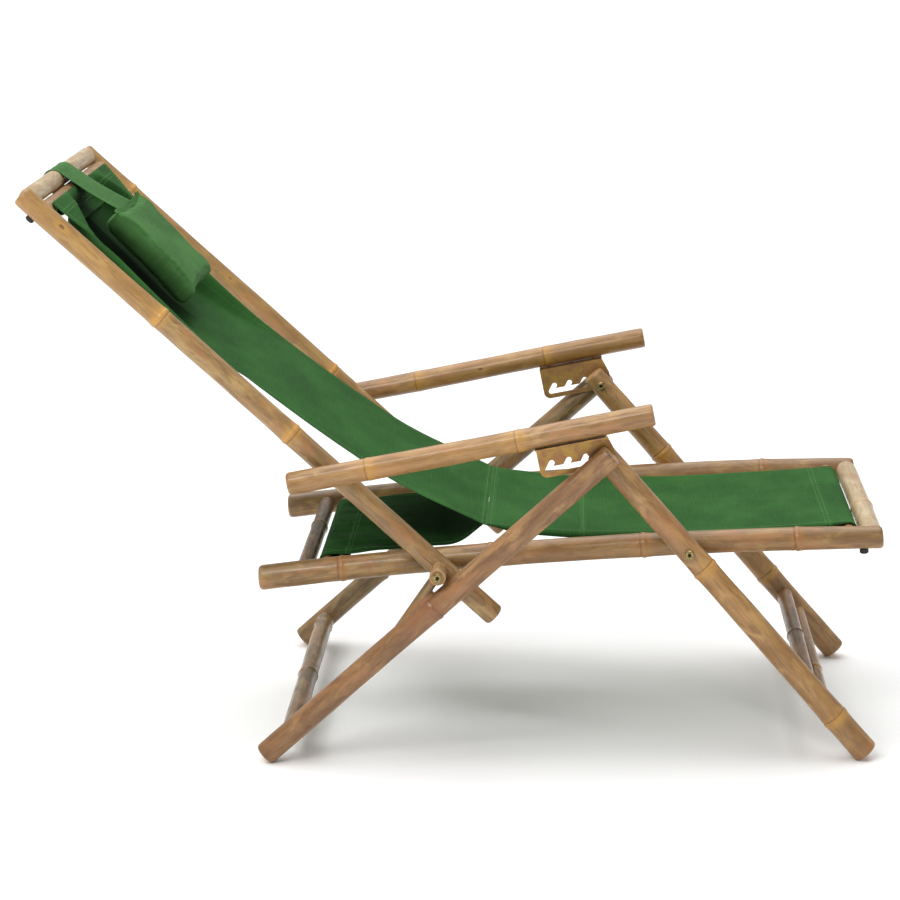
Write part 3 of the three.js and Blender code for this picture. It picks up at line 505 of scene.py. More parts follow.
def cane(name, start, end, radii, material, body, replaces, rings=(), bow=0.0, seed=0, slot="bamboo",
         sides=40, edge=0.0045, ring_height=0.0015, drift=0.0009, stains=()):
    """A bamboo pole: a little uneven, with a ridge and a groove at each ring and cut ends.

    Rings are shares of its length, its edge is the rounding of its ends, and a stain is a place and a reach.
    """
    rng = np.random.default_rng(seed)
    start, end = np.asarray(start, float), np.asarray(end, float)
    length = np.linalg.norm(end - start)
    direction = (end - start) / length
    first, second = side_vectors(direction)
    ring_places = np.array(sorted(rings)) * length
    steps = [np.arange(edge, length - edge, CANE_STEP)]
    steps += [place + np.linspace(-RING["reach"], RING["reach"], 21) for place in ring_places]
    steps += [np.array([edge * share, length - edge * share]) for share in (0.0, 0.04, 0.15, 0.34, 0.6, 1.0)]
    travel = np.unique(np.round(np.clip(np.concatenate(steps), 0, length), 6))
    share = travel / length

    radius = radii[0] + (radii[1] - radii[0]) * share
    rounding = np.clip(1 - np.minimum(travel, length - travel) / edge, 0, 1)
    radius = radius - edge * (1 - np.sqrt(1 - rounding ** 2)) * 0.8
    waves = rng.uniform(0, 2 * math.pi, 6)
    radius = radius * (1 + 0.010 * np.sin(travel * 21 + waves[0]) + 0.006 * np.sin(travel * 57 + waves[1]))
    along_it = {key: 0 * travel for key in ("ring", "groove", "cut")}
    along_it["tone"] = 0 * travel + rng.uniform(0, 0.5)
    for place in ring_places:
        way = travel - place
        groove = bell(way, RING["groove_at"], RING["groove"])
        ridge = bell(way, 0, RING["ridge"]) + bell(way, 0, RING["swell"])
        radius = radius + ring_height * (0.6 * ridge - 0.55 * groove)
        along_it["ring"] = np.maximum(along_it["ring"], bell(way, 0, RING["colour"]))
        along_it["groove"] = np.maximum(along_it["groove"], groove)
        along_it["tone"] = np.where(way > 0, rng.uniform(0, 1), along_it["tone"])

    turn = np.linspace(0, 2 * math.pi, sides, endpoint=False)
    shape = 1 + 0.018 * np.cos(2 * turn + waves[2]) + 0.008 * np.cos(3 * turn + waves[3])
    sway = drift * np.sin(share * math.pi)[:, None]
    centre = start + travel[:, None] * direction
    centre = centre + sway * np.sin(travel * 6.1 + waves[4])[:, None] * first
    centre = centre + sway * np.sin(travel * 7.7 + waves[5])[:, None] * second
    centre[:, 2] += 4 * bow * share * (1 - share)
    spokes = np.cos(turn)[:, None] * first + np.sin(turn)[:, None] * second
    points = (centre[:, None, :] + radius[:, None, None] * shape[None, :, None] * spokes[None]).reshape(-1, 3)
    round_it = (np.cos(turn)[None] * GRAIN_R, np.sin(turn)[None] * GRAIN_R, travel[:, None])
    grain = np.stack(np.broadcast_arrays(*round_it), -1).reshape(-1, 3) + seed * 0.37
    fields = {key: np.repeat(values, sides) for key, values in along_it.items()}

    faces = grid_faces(len(travel), sides, closed=True).tolist()
    for tip, outward in ((0, -1), (len(travel) - 1, 1)):
        previous = np.arange(tip * sides, (tip + 1) * sides)
        rim_grain = grain[previous]
        for shrink, sink in CAP_RINGS:
            current = len(points) + np.arange(sides)
            cap = centre[tip] - outward * direction * sink + radius[tip] * shrink * shape[:, None] * spokes
            points = np.vstack([points, cap])
            grain = np.vstack([grain, rim_grain * shrink])
            for key, values in fields.items():
                fields[key] = np.append(values, np.full(sides, float(key == "cut")))
            quads = np.stack([previous, np.roll(previous, -1), np.roll(current, -1), current], -1)
            faces += (quads if outward > 0 else quads[:, ::-1]).tolist()
            previous = current
        faces.append(list(previous if outward > 0 else previous[::-1]))

    stain = np.zeros(len(points))
    for place, reach in stains:
        stain = np.maximum(stain, bell(np.linalg.norm(points - place, axis=1), 0, reach))
    attributes = {"grain": grain, "stain": stain, **fields}
    return make_piece(name, points, faces, material, body, replaces, attributes=attributes)


def pair_of_canes(name, start, end, away, radii, material, body, rings, seed, **settings):
    """A near and a far cane between two places of the side view; the body's name may hold the side's."""
    for index, (side, sign) in enumerate(SIDES.items()):
        cane(f"{name}_{side}_cane", at_y(start, sign * away), at_y(end, sign * away), radii, material,
             body.format(side), [f"{name}_{side}"], rings[index], seed=seed + index, **settings)


def crossbar(name, place, rail_y, rail_radius, radius, material, body, rings=(), seed=0, slot="bamboo"):
    """A bar between two rails, its ends let into them."""
    reach = rail_y - rail_radius + TENON_SINK
    return cane(name + "_cane", at_y(place, -reach), at_y(place, reach), (radius, radius), material, body,
                [name], rings, seed=seed, slot=slot, drift=0.0004)


def seat_frame_canes():
    rings = ((0.135, 0.375, 0.62, 0.865), (0.24, 0.55, 0.84))
    pair_of_canes("seat_rail", SEAT_REAR, SEAT_FRONT, SEAT_Y, SEAT_R, RAIL, "seat_frame", rings, 11,
                  bow=SEAT["bow"], edge=0.007)
    bars = (
        ("foot_bar", 1 - FOOT_BAR[0] / SEAT_LENGTH, FOOT_BAR[1], PALE, (0.38,), "pale_bamboo"),
        ("foot_sling_bar", 1 - FOOT_SLING_BAR[0] / SEAT_LENGTH, FOOT_SLING_BAR[1], TAN, (), "bamboo"),
        ("rear_bar", REAR_BAR[0] / SEAT_LENGTH, REAR_BAR[1], GREY, (0.62,), "pale_bamboo"),
        ("rear_sling_bar", REAR_SLING_BAR[0] / SEAT_LENGTH, REAR_SLING_BAR[1], GREY, (), "bamboo"),
    )
    for index, (name, share, radius, material, rings, slot) in enumerate(bars):
        rail_radius = SEAT_R[0] + (SEAT_R[1] - SEAT_R[0]) * share
        crossbar(name, on_seat(share), SEAT_Y, rail_radius, radius, material, "seat_frame", rings,
                 21 + index, slot)


def back_frame_canes():
    pair_of_canes("back_rail", BACK_FOOT, on_back(BACK_REACH), INNER_Y, BACK_R, AMBER, "back_frame",
                  ((0.439, 0.714), (0.419, 0.893)), 31, edge=0.006)
    crossbar("top_bar", on_back(BACK_REACH - TOP_BAR[0]), INNER_Y, BACK_R[1], TOP_BAR[1], PALE, "back_frame",
             (), 35, "pale_bamboo")
    crossbar("top_sling_bar", on_back(TOP_SLING_BAR[0]), INNER_Y, BACK_R[1], TOP_SLING_BAR[1], TAN,
             "back_frame", (), 36)


def front_leg_canes():
    top = along(TOP_PIVOT, FRONT_ANGLE, FRONT_LEG["top_reach"])
    foot = along(FRONT_FOOT, FRONT_ANGLE, -FRONT_LEG["foot_reach"])
    pair_of_canes("front_leg", top, foot, INNER_Y, FRONT_LEG_R, TAN, "front_legs",
                  ((0.4, 0.885), (0.28, 0.72)), 41)
    for name, (up, radius), material, rings, seed in (
        ("front_stretcher_upper", FRONT_STRETCHER, UMBER, (0.52,), 45),
        ("front_stretcher_lower", LOW_STRETCHER, TAN, (0.33,), 46),
    ):
        crossbar(name, along(FRONT_FOOT, FRONT_ANGLE, up), INNER_Y, FRONT_LEG_R[1], radius, material,
                 "front_legs", rings, seed)


def crotch_web(name, root, crotch, branch_angle, y, material):
    """The wood that fills the angle between a rear leg and its branch, stained around the scar."""
    leg_angle = REAR_LEG["angle"]
    length = np.linalg.norm(crotch - root) + 0.002
    travel = np.linspace(WEB_START, length, 44)
    turn = np.linspace(0, 2 * math.pi, 36, endpoint=False)
    offset = along((0, 0), leg_angle + 90, 1)
    points, grain, stain, groove = [], [], [], []
    for way in travel:
        branch_place = along(root, branch_angle, way)
        leg_place = along(root, leg_angle, way * math.cos(math.radians(branch_angle - leg_angle)))
        share = (way - WEB_START) / (length - WEB_START)
        round_off = math.sqrt(max(0.0, 1 - share ** 10))
        half = np.linalg.norm(branch_place - leg_place) / 2 + FORK_R[1] * round_off
        taper = WEB_THICK[0] + (WEB_THICK[1] - WEB_THICK[0]) * share ** 1.3
        thick = taper * round_off * (0.6 + 0.4 * min(1.0, share / 0.2)) + 0.0006
        middle = (branch_place + leg_place) / 2
        for a in turn:
            place = middle + offset * half * math.cos(a)
            points.append([place[0], y + thick * math.sin(a), place[1]])
            grain.append([GRAIN_R * math.cos(a), GRAIN_R * math.sin(a), way])
            stain.append(bell(way, SCAR_AT, 0.026) * (0.8 - 0.2 * math.cos(a)))
            groove.append(0.9 * bell(way, SCAR_AT - 0.006, 0.005) * bell(math.cos(a), 0.1, 0.3))
    zero = np.zeros(len(points))
    attributes = {"grain": grain, "stain": stain, "groove": groove, "ring": zero, "tone": zero, "cut": zero}
    return make_piece(name, points, tube_faces(len(travel), len(turn)), material, "rear_legs",
                      attributes=attributes)


def rear_leg_canes():
    leg_angle = REAR_LEG["angle"]
    top = along(TOP_PIVOT, leg_angle, REAR_LEG["top_reach"])
    foot = along(REAR_FOOT, leg_angle, -REAR_LEG["foot_reach"])
    root = along(TOP_PIVOT, leg_angle, -FORK_ROOT)
    peg_away = np.linalg.norm(BACK_PIVOT - TOP_PIVOT)
    peg_down = peg_away * math.cos(math.radians(angle_of(BACK_PIVOT, TOP_PIVOT) - leg_angle))
    aim = along(along(TOP_PIVOT, leg_angle, -peg_down), leg_angle + 90, FORK_SIDE)
    branch_angle = angle_of(root, aim)
    tip = along(BACK_PIVOT, branch_angle, -(PEG_R + GAP))
    root = along(tip, branch_angle, -np.linalg.norm(tip - root))
    crotch = along(root, branch_angle, CROTCH_AT)
    scar = along(root, (branch_angle + leg_angle) / 2, SCAR_AT)
    looks = ((UMBER, (0.505,)), (OLIVE, (0.38, 0.74)))
    for index, ((side, sign), (material, rings)) in enumerate(zip(SIDES.items(), looks)):
        y = sign * OUTER_Y
        stains = [(at_y(scar, y * 1.05), 0.029), (at_y(along(scar, leg_angle, -0.03), y * 1.05), 0.022)]
        cane(f"rear_leg_{side}_cane", at_y(top, y), at_y(foot, y), (REAR_LEG_R, REAR_LEG_R), material,
             "rear_legs", [f"rear_leg_{side}"], rings, seed=51 + index, stains=stains)
        cane(f"rear_leg_{side}_branch", at_y(root, y), at_y(tip, y), FORK_R, OLIVE, "rear_legs", [],
             seed=55 + index, stains=[(at_y(root, y), 0.05)], edge=0.002, sides=28, drift=0.0)
        crotch_web(f"rear_leg_{side}_crotch", root, crotch, branch_angle, y, material)
    crossbar("rear_stretcher", along(REAR_FOOT, leg_angle, REAR_STRETCHER[0]), OUTER_Y, REAR_LEG_R,
             REAR_STRETCHER[1], OLIVE, "rear_legs", (0.46, 0.93), 57)


def armrest_canes():
    rear = along(ARM_PIVOT, ARM["angle"], -ARM["behind"])
    front = along(ARM_PIVOT, ARM["angle"], ARM["ahead"])
    pair_of_canes("armrest", rear, front, OUTER_Y, ARM_R, TAN, "armrest_{}_arm",
                  ((0.225, 0.635), (0.30, 0.70)), 61, ring_height=0.0007)


# Fasteners: a bolt's body, place, head and tip distances from the middle, and the way its head looks
BOLTS = (
    ("pivot_bolt", "back_pivots", BACK_PIVOT, 0.36013, 0.2160, 1),
    ("leg_bolt", "seat_frame", LEG_PIVOT, 0.30981, 0.2168, 1),
    ("top_bolt", "front_legs", TOP_PIVOT, 0.26865, 0.3430, -1),
    ("arm_bolt", "arm_pivots", ARM_PIVOT, 0.27031, 0.3428, -1),
)
PEG_PROFILE = (
    (0.0034, -0.0515), (0.0128, -0.0515), (0.0138, -0.0500), (PEG_R, -0.0470), (0.0136, -0.0300),
    (PEG_R, -0.0140), (PEG_R, -0.0022), (0.0135, -0.0006), (0.0124, 0.0), (0.0114, -0.0001),
    (0.0112, -0.0012), (0.0106, -0.0012), (0.0104, 0.0), (0.0092, 0.0), (0.0090, -0.0008), (0.0034, -0.0008),
)
BUMPER_PROFILE = ((0.0074, -0.0066), (0.0076, -0.0010), (0.0070, 0.0010), (0.0056, 0.0020), (0.0020, 0.0022))


def turned(name, profile, base, direction, material, body, replaces=(), hexagonal=(), smooth=28):
    """A turned piece on an axis; profile rows are (radius, height along it), and some may be six-sided."""
    direction = np.asarray(direction, float) / np.linalg.norm(direction)
    first, second = side_vectors(direction)
    turn = np.linspace(0, 2 * math.pi, TURNED_SIDES, endpoint=False)
    facet = math.cos(math.pi / 6) / np.cos(np.mod(turn, math.pi / 3) - math.pi / 6)
    points = []
    for index, (radius, height) in enumerate(profile):
        size = radius * (facet if index in hexagonal else np.ones_like(turn))
        spokes = (size * np.cos(turn))[:, None] * first + (size * np.sin(turn))[:, None] * second
        points.append(np.asarray(base) + direction * height + spokes)
    faces = tube_faces(len(profile), TURNED_SIDES)
    return make_piece(name, np.vstack(points), faces, material, body, replaces, smooth)


def bolt(name, side, body, place, head_y, tip_y, outward):
    """A button-headed bolt with a flange and a six-sided socket, its shank running away from the head, and a dark
    disc of painted shade on the socket's floor.
    """
    sign = SIDES[side]
    base = at_y(place, sign * head_y)
    direction = np.array([0, sign * outward, 0.0])
    head, tall, shank, socket = BOLT_HEAD_R, BOLT_HEAD_TALL, BOLT_SHANK_R, BOLT_SOCKET_R
    profile = [
        (shank, -abs(head_y - tip_y)), (shank, 0.0), (head - 0.0004, 0.0), (head, 0.0004), (head, 0.0010),
        (head * 0.90, 0.0013), (head * 0.86, tall * 0.55), (head * 0.74, tall * 0.88), (head * 0.58, tall),
        (socket * 1.25, tall), (socket * 1.12, tall - 0.0003), (socket * 1.10, tall - 0.0026),
        (socket * 0.2, tall - 0.0030),
    ]
    floor = [(socket * 1.02, tall - 0.0026), (socket * 1.0, tall - 0.0024), (socket * 0.1, tall - 0.0024)]
    turned(f"{name}_{side}_steel", profile, base, direction, ZINC, body, [f"{name}_{side}"],
           hexagonal=(10, 11, 12))
    # painted shade: a dark disc on the socket's floor
    turned(f"{name}_{side}_socket", floor, base, direction, PAINTED_SOCKET_SHADE, body, hexagonal=(0, 1, 2))


def pivot_peg(side, sign):
    """The cane peg that a back rail turns on: round edges, and a cut end with a bolt hole in it."""
    centre = at_y(BACK_PIVOT, sign * PEG_Y)
    peg = turned(f"pivot_peg_{side}_cane", PEG_PROFILE, centre, (0, sign, 0), TAN, "back_pivots",
                 [f"pivot_peg_{side}"], smooth=40)
    away = np.array([v.co for v in peg.data.vertices]) - centre
    height = sign * away[:, 1]
    radius = np.hypot(away[:, 0], away[:, 2])
    for key in ("ring", "stain", "tone"):
        set_attribute(peg.data, key, np.zeros(len(away)))
    set_attribute(peg.data, "cut", np.where(height > -0.0016, 0.75, 0.0))
    set_attribute(peg.data, "groove", np.where(height < -0.0005, 1.0, 0.0) * (radius < 0.0125))
    set_attribute(peg.data, "grain", away[:, [0, 2, 1]])


def fasteners():
    for side, sign in SIDES.items():
        for name, *settings in BOLTS:
            bolt(name, side, *settings)
        pivot_peg(side, sign)
    for name, body, angle in (
        ("back_bumper", "back_frame", BACK_ANGLE + 90),
        ("seat_bumper", "seat_frame", SEAT["angle"] - 90),
    ):
        for side in SIDES:
            low, high = (np.array(corner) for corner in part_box(f"{name}_{side}"))
            out = at_y(along((0, 0), angle, 1), 0)
            turned(f"{name}_{side}_rubber", BUMPER_PROFILE, (low + high) / 2, out, RUBBER, body,
                   [f"{name}_{side}"], smooth=60)


# Cloth
def arc(centre, radius, start_angle, end_angle, steps):
    return [along(centre, a, radius) for a in np.linspace(start_angle, end_angle, steps)]


def travel_of(path):
    """The distance along a path at each of its points."""
    return np.append(0, np.cumsum(np.linalg.norm(np.diff(path, axis=0), axis=1)))


def sample(places, travel, values):
    """Rows of values, given at distances along a line, read at other distances."""
    return np.stack([np.interp(places, travel, column) for column in values.T], -1)


def curve_through(places):
    """Evenly spaced places on a smooth curve through the given ones."""
    places = np.asarray(places, float)
    padded = np.vstack([2 * places[0] - places[1], places, 2 * places[-1] - places[-2]])
    share = np.linspace(0, 1, 24, endpoint=False)[:, None]
    dense = []
    for a, b, c, d in zip(padded, padded[1:], padded[2:], padded[3:]):
        dense.append(0.5 * (2 * b + (c - a) * share + (2 * a - 5 * b + 4 * c - d) * share ** 2
                            + (3 * b - a - 3 * c + d) * share ** 3))
    dense = np.vstack(dense + [places[-1:]])
    travel = travel_of(dense)
    return sample(np.linspace(0, travel[-1], max(2, int(round(travel[-1] / CLOTH_STEP)) + 1)), travel, dense)


def joined(*parts):
    """Paths end to end, without repeated places."""
    path = np.vstack([np.asarray(part, float) for part in parts])
    keep = np.append(True, np.linalg.norm(np.diff(path, axis=0), axis=1) > 1e-5)
    return path[keep]


def smooth_step(value, low, high):
    share = np.clip((value - low) / (high - low), 0, 1)
    return share * share * (3 - 2 * share)


def random_phases(seed, count=8):
    return np.random.default_rng(seed).uniform(0, 2 * math.pi, count)


def grid_normals(points):
    normals = np.cross(np.gradient(points, axis=0), np.gradient(points, axis=1))
    return normals / np.linalg.norm(normals, axis=2)[..., None]


def cloth_surface(path, half_widths, lift, columns):
    """A cloth laid on a side view path: middle points, normals, distances along it and places across it.

    The lift, off the path, is a function of the distance along and the share across, from -1 to 1.
    """
    travel = travel_of(path)
    share = np.linspace(-1, 1, columns)[None, :]
    tangent = np.gradient(path, travel, axis=0)
    tangent /= np.linalg.norm(tangent, axis=1)[:, None]
    rise = lift(travel[:, None], share)
    x = path[:, 0, None] - tangent[:, 1, None] * rise
    z = path[:, 1, None] + tangent[:, 0, None] * rise
    y = share * half_widths[:, None] + 0 * x
    middle = np.stack([x, y, z], -1)
    return middle, grid_normals(middle), travel, y


def cloth_piece(name, surface, replaces, seams=(), hem=HEM, thick=CLOTH_THICK, canvas=CANVAS):
    """A cloth of real thickness with folded hems on its two long edges; seams are bands of (place, width)."""
    middle, normals, travel, y = surface
    rows, columns = y.shape
    down = travel[:, None] + 0 * y
    edge_away = np.abs(y).max(axis=1)[:, None] - np.abs(y)
    folded = 1 - smooth_step(edge_away, hem - 0.0012, hem + 0.0008)
    lines = bell(edge_away, hem, 0.0016)
    for place, width in seams:
        band = 1 - smooth_step(np.abs(down - place), width * 0.5 - 0.001, width * 0.5 + 0.001)
        folded = np.maximum(folded, band)
        for line in (place - width * 0.5, place + width * 0.5):
            lines = np.maximum(lines, bell(down, line, 0.0022))
    layer = (thick * 0.5 + FOLD_THICK * folded) * np.clip(edge_away / 0.0008, 0.25, 1)
    points = np.vstack([(middle + way * normals * layer[..., None]).reshape(-1, 3) for way in (1, -1)])
    flat = np.stack([y, down, 0 * y], -1).reshape(-1, 3)
    attributes = {"cloth": np.vstack([flat, flat]), "seam": np.tile(lines.ravel(), 2)}
    faces = slab_faces(rows, columns)[:, ::-1]
    return make_piece(name, points, faces, canvas, None, replaces, 60, attributes)


def stitch_row(points, normals):
    """Points and faces of small thread stitches laid along a line on a cloth."""
    travel = travel_of(points)
    places = np.arange(STITCH["pitch"], travel[-1] - STITCH["pitch"], STITCH["pitch"])
    centre = sample(places, travel, points)
    ahead = sample(places + 0.0005, travel, points) - centre
    ahead /= np.linalg.norm(ahead, axis=1)[:, None]
    side = np.cross(sample(places, travel, normals), ahead)
    side /= np.linalg.norm(side, axis=1)[:, None]
    up = np.cross(ahead, side)
    turns = np.linspace(0, 2 * math.pi, 6, endpoint=False)[None, :, None]
    spokes = np.cos(turns) * side[:, None] + np.sin(turns) * up[:, None]
    rings = []
    for share, size in ((-0.5, 0.35), (-0.3, 1.0), (0.3, 1.0), (0.5, 0.35)):
        ring = centre[:, None] + ahead[:, None] * STITCH["length"] * share
        rings.append(ring + STITCH["radius"] * size * spokes)
    block = grid_faces(4, 6, closed=True)
    faces = (block[None] + (np.arange(len(centre)) * 24)[:, None, None]).reshape(-1, 4)
    return np.stack(rings, 1).reshape(-1, 3), faces


def stitches(name, surface, rows=(), hem=HEM, thick=CLOTH_THICK):
    """Thread along both hems and along each given distance down the cloth."""
    middle, normals, travel, y = surface
    lines = []
    for sign in (-1, 1):
        target = sign * (np.abs(y).max(axis=1) - (hem - STITCH["from_hem"]))
        lines.append([np.array([sample(place, row_y, row) for place, row_y, row in zip(target, y, grid)])
                      for grid in (middle, normals)])
    for place in rows:
        i = int(np.argmin(np.abs(travel - place)))
        lines.append((middle[i], normals[i]))
    points, faces, count = [], [], 0
    for line, line_normals in lines:
        raised = thick * 0.5 + STITCH["raised"]
        row_points, row_faces = stitch_row(line + line_normals * raised, line_normals)
        points.append(row_points)
        faces.append(row_faces + count)
        count += len(row_points)
    return make_piece(name, np.vstack(points), np.vstack(faces), THREAD, None)


def flat_edge(below):
    """The share of the cloth's half width that stays flat beside the sag, at a distance below the bar."""
    return 0.46 * (1 - smooth_step(below, 0.0, 0.105))


def back_cloth():
    """From the top bar's loop down to the seam: tight at its edges, sagging between them below the bar, with
    painted shade in the sag.
    """
    centre = on_back(TOP_SLING_BAR[0])
    radius = TOP_SLING_BAR[1] + LOOP_CLEAR
    line = [on_back(BACK["above"] * share, off) for share, off in BACK_LINE]
    run = curve_through([along(centre, OFF_BACK, radius), *line, SEAM - np.array([GAP, 0])])
    wrap = arc(centre, radius, OFF_BACK - 186, OFF_BACK, 26)
    under = on_back(TOP_SLING_BAR[0] - LOOP_SEAM - 0.002, 0.0108)
    back = curve_through([under, on_back(TOP_SLING_BAR[0] - LOOP_SEAM * 0.72, 0.0020), wrap[0]])
    path = joined(back, wrap, run)
    travel = travel_of(path)
    wrap_start = travel_of(back)[-1]
    loop_end = travel_of(joined(back, wrap))[-1]
    beyond = np.where(travel < wrap_start, wrap_start - travel, np.maximum(travel - loop_end, 0))
    widen = smooth_step(travel, loop_end, loop_end + 0.36)
    half_widths = SLING_TOP_HALF + (SLING_HALF - SLING_TOP_HALF) * widen
    half_widths = half_widths + (SLING_LOOP_HALF - SLING_TOP_HALF) * (1 - smooth_step(beyond, 0.0, 0.15))
    phases = random_phases(5)

    def lift(s, u):
        returning = s < wrap_start
        below = np.where(returning, wrap_start - s, s - loop_end)
        inward = 1 - np.abs(u) - flat_edge(below)
        deep = smooth_step(below, -0.004, 0.045) * (1 - smooth_step(below, 0.24, 0.50))
        sag = -BACK_SAG * smooth_step(inward, 0.0, 0.13) * deep
        corner = 0.004 * bell(inward, 0, 0.10) * bell(below, 0.03, 0.04)
        gathers = np.sin(u * 62 + phases[0]) * np.sin(u * 23 + phases[1])
        pucker = 0.0007 * bell(below, LOOP_SEAM, 0.011) * gathers
        loop = 0.0005 * bell(np.clip(below + 0.01, -1, 1), 0, 0.03) * np.sin(u * 55 + phases[2] + below * 40)
        long_folds = 0.0016 * np.sin(u * 9 + below * 5 + phases[3]) * bell(below, 0.14, 0.10)
        hip = 0.0022 * np.sin(u * 7 + phases[4]) * bell(s, travel[-1] - 0.10, 0.07)
        front = sag + corner + pucker + loop + (long_folds + hip) * (1 - u ** 2)
        return np.where(returning, -(sag + corner), front)

    surface = cloth_surface(path, half_widths, lift, SLING_COLUMNS)
    seam = loop_end + LOOP_SEAM
    piece = cloth_piece("sling_back_cloth", surface, ["back_sling", "hip_sling"],
                        [(seam, 0.006), (travel[-1] - 0.004, 0.008)])
    below = np.maximum(travel - loop_end, 0)[:, None]
    lane = np.linspace(-1, 1, SLING_COLUMNS)[None, :]
    inward = 1 - np.abs(lane) - flat_edge(below)
    # Painted shade: the sag below the bar is darkened where it lies in the pillow's shadow, less on the far half
    shade = smooth_step(inward, 0.01, 0.09) * np.clip(1.25 * (1 - ((below - 0.165) / 0.155) ** 4), 0, 1)
    shade = shade * np.where(lane > 0, 0.45, 1.0)
    set_attribute(piece.data, "painted_shade", np.tile(shade.ravel(), 2))
    thread = stitches("sling_back_thread", surface, (seam - 0.003, seam + 0.003, travel[-1] - 0.008))
    for part in (piece, thread):
        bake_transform(part)


def seat_cloth():
    """From the seam to the foot bar's loop, hanging between them, with a second seam under the thighs."""
    centre = on_seat(1 - FOOT_SLING_BAR[0] / SEAT_LENGTH)
    radius = FOOT_SLING_BAR[1] + LOOP_CLEAR
    top = along(centre, 90, radius)
    span = top - SEAM
    line = [SEAM + span * share + np.array([0, height]) for share, height in SEAT_LINE]
    run = curve_through([SEAM + np.array([GAP, 0]), *line, top])
    wrap = arc(centre, radius, 90, -96, 26)
    under = along(centre, 90, radius - 0.0042) - np.array([FOOT_LOOP_SEAM + 0.004, 0])
    back = curve_through([wrap[-1], along(centre, 205, radius + 0.006), under])
    path = joined(run, wrap, back)
    travel = travel_of(path)
    loop_start = travel_of(run)[-1]
    seam = loop_start - FOOT_LOOP_SEAM
    second_seam = span[0] * 0.27
    half_widths = SLING_HALF + (SLING_FOOT_HALF - SLING_HALF) * smooth_step(travel, 0, loop_start)
    phases = random_phases(9)

    def lift(s, u):
        before = loop_start - s
        past_seam = smooth_step(before, FOOT_LOOP_SEAM, FOOT_LOOP_SEAM + 0.012)
        band = smooth_step(before, -0.022, 0.0) * (1 - past_seam)
        gathers = np.sin(u * 66 + before * 160 + phases[0]) * (0.6 + 0.4 * np.sin(u * 17 + phases[1]))
        pucker = 0.0008 * (band * 0.8 + bell(before, FOOT_LOOP_SEAM, 0.010) * 0.5) * gathers
        pull = 0.0011 * np.sin(u * 13 + phases[2]) * bell(before, 0.07, 0.05)
        between = np.sin(np.clip(s / loop_start, 0, 1) * math.pi)
        soft = (-0.0045 * (1 - u ** 2) + 0.0012 * np.sin(u * 5 + s * 9 + phases[3])) * between
        ridge = 0.0009 * bell(s, second_seam, 0.005)
        away_from_seams = smooth_step(before, 0.0, 0.06) * smooth_step(s, 0.0, 0.06)
        roll = -0.0085 * smooth_step(np.abs(u), 0.952, 1.0) * away_from_seams
        return pucker + pull + soft + ridge + roll

    surface = cloth_surface(path, half_widths, lift, SLING_COLUMNS)
    seams = [(0.005, 0.008), (second_seam, 0.005), (seam, 0.007)]
    piece = cloth_piece("sling_seat_cloth", surface, ["seat_sling"], seams)
    thread = stitches("sling_seat_thread", surface, (0.008, second_seam, seam - 0.003, seam + 0.003))
    # Painted shade: the cloth darkened along both long edges, where the edge rolls under into shadow
    shade = smooth_step(np.abs(np.linspace(-1, 1, SLING_COLUMNS)), 0.962, 0.992) * 0.8
    set_attribute(piece.data, "painted_shade", np.tile(shade, 2 * len(path)))
    for part in (piece, thread):
        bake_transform(part)


def rear_cloth():
    """The tie from the bar behind the seat to the seam, gathered at its bar."""
    centre = on_seat(REAR_SLING_BAR[0] / SEAT_LENGTH)
    radius = REAR_SLING_BAR[1] + LOOP_CLEAR - 0.001
    top = along(centre, 84, radius)
    line = [top + np.array([(SEAM[0] - top[0]) * share, height]) for share, height in REAR_LINE]
    run = curve_through([top, *line, SEAM + np.array([-0.004, -0.0028])])
    wrap = arc(centre, radius, 276, 84, 26)
    under = top + np.array([0.038, -0.0022])
    back = curve_through([under, along(centre, -28, radius + 0.006), wrap[0]])
    path = joined(back, wrap, run)
    travel = travel_of(path)
    loop_end = travel_of(joined(back, wrap))[-1]
    phases = random_phases(13)

    def lift(s, u):
        below = s - loop_end
        gather = bell(np.clip(below, 0, 1), 0, 0.095) * smooth_step(below, -0.01, 0.012)
        folds = np.sin(u * 24 + 2.2 * np.sin(u * 3 + below * 9) + phases[0])
        folds = folds + 0.6 * np.sin(u * 41 + below * 34 + phases[1])
        folds = 0.0030 * gather * folds * (0.65 + 0.35 * np.sin(u * 8 + phases[3]))
        cross = 0.0012 * np.sin(below * 62 + 3 * np.sin(u * 4 + phases[2])) * bell(below, 0.07, 0.05)
        drop = -0.004 * (1 - u ** 2) * np.sin(np.clip(below / 0.22, 0, 1) * math.pi)
        return folds + cross + drop

    surface = cloth_surface(path, np.full(len(path), REAR_SLING_HALF), lift, REAR_COLUMNS)
    piece = cloth_piece("sling_rear_cloth", surface, ["rear_sling"], [(loop_end + 0.034, 0.006)])
    thread = stitches("sling_rear_thread", surface, (loop_end + 0.031, loop_end + 0.037))
    # Painted shade: the whole tie is darkened as it lies in shadow under the seat, more so away from its bar
    shade = 0.30 + 0.32 * smooth_step(travel, loop_end + 0.05, loop_end + 0.16)
    set_attribute(piece.data, "painted_shade", np.tile(np.repeat(shade, REAR_COLUMNS), 2))
    for part in (piece, thread):
        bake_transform(part)


# Pillow and strap
def pillow_point(s, t, height):
    """A point of the pillow from its shares across and along, and its height off its underside."""
    up = t * (PILLOW["length"] / 2 - PILLOW["pull"] * (1 - s * s))
    across = s * (PILLOW["half_width"] - PILLOW["pull"] * (1 - t * t)) + PILLOW["turn"] * (t - 1)
    place = along(along(PILLOW_MIDDLE, PILLOW_TILT, up), PILLOW_TILT - 90, height)
    return at_y(place, PILLOW["y"] + across)


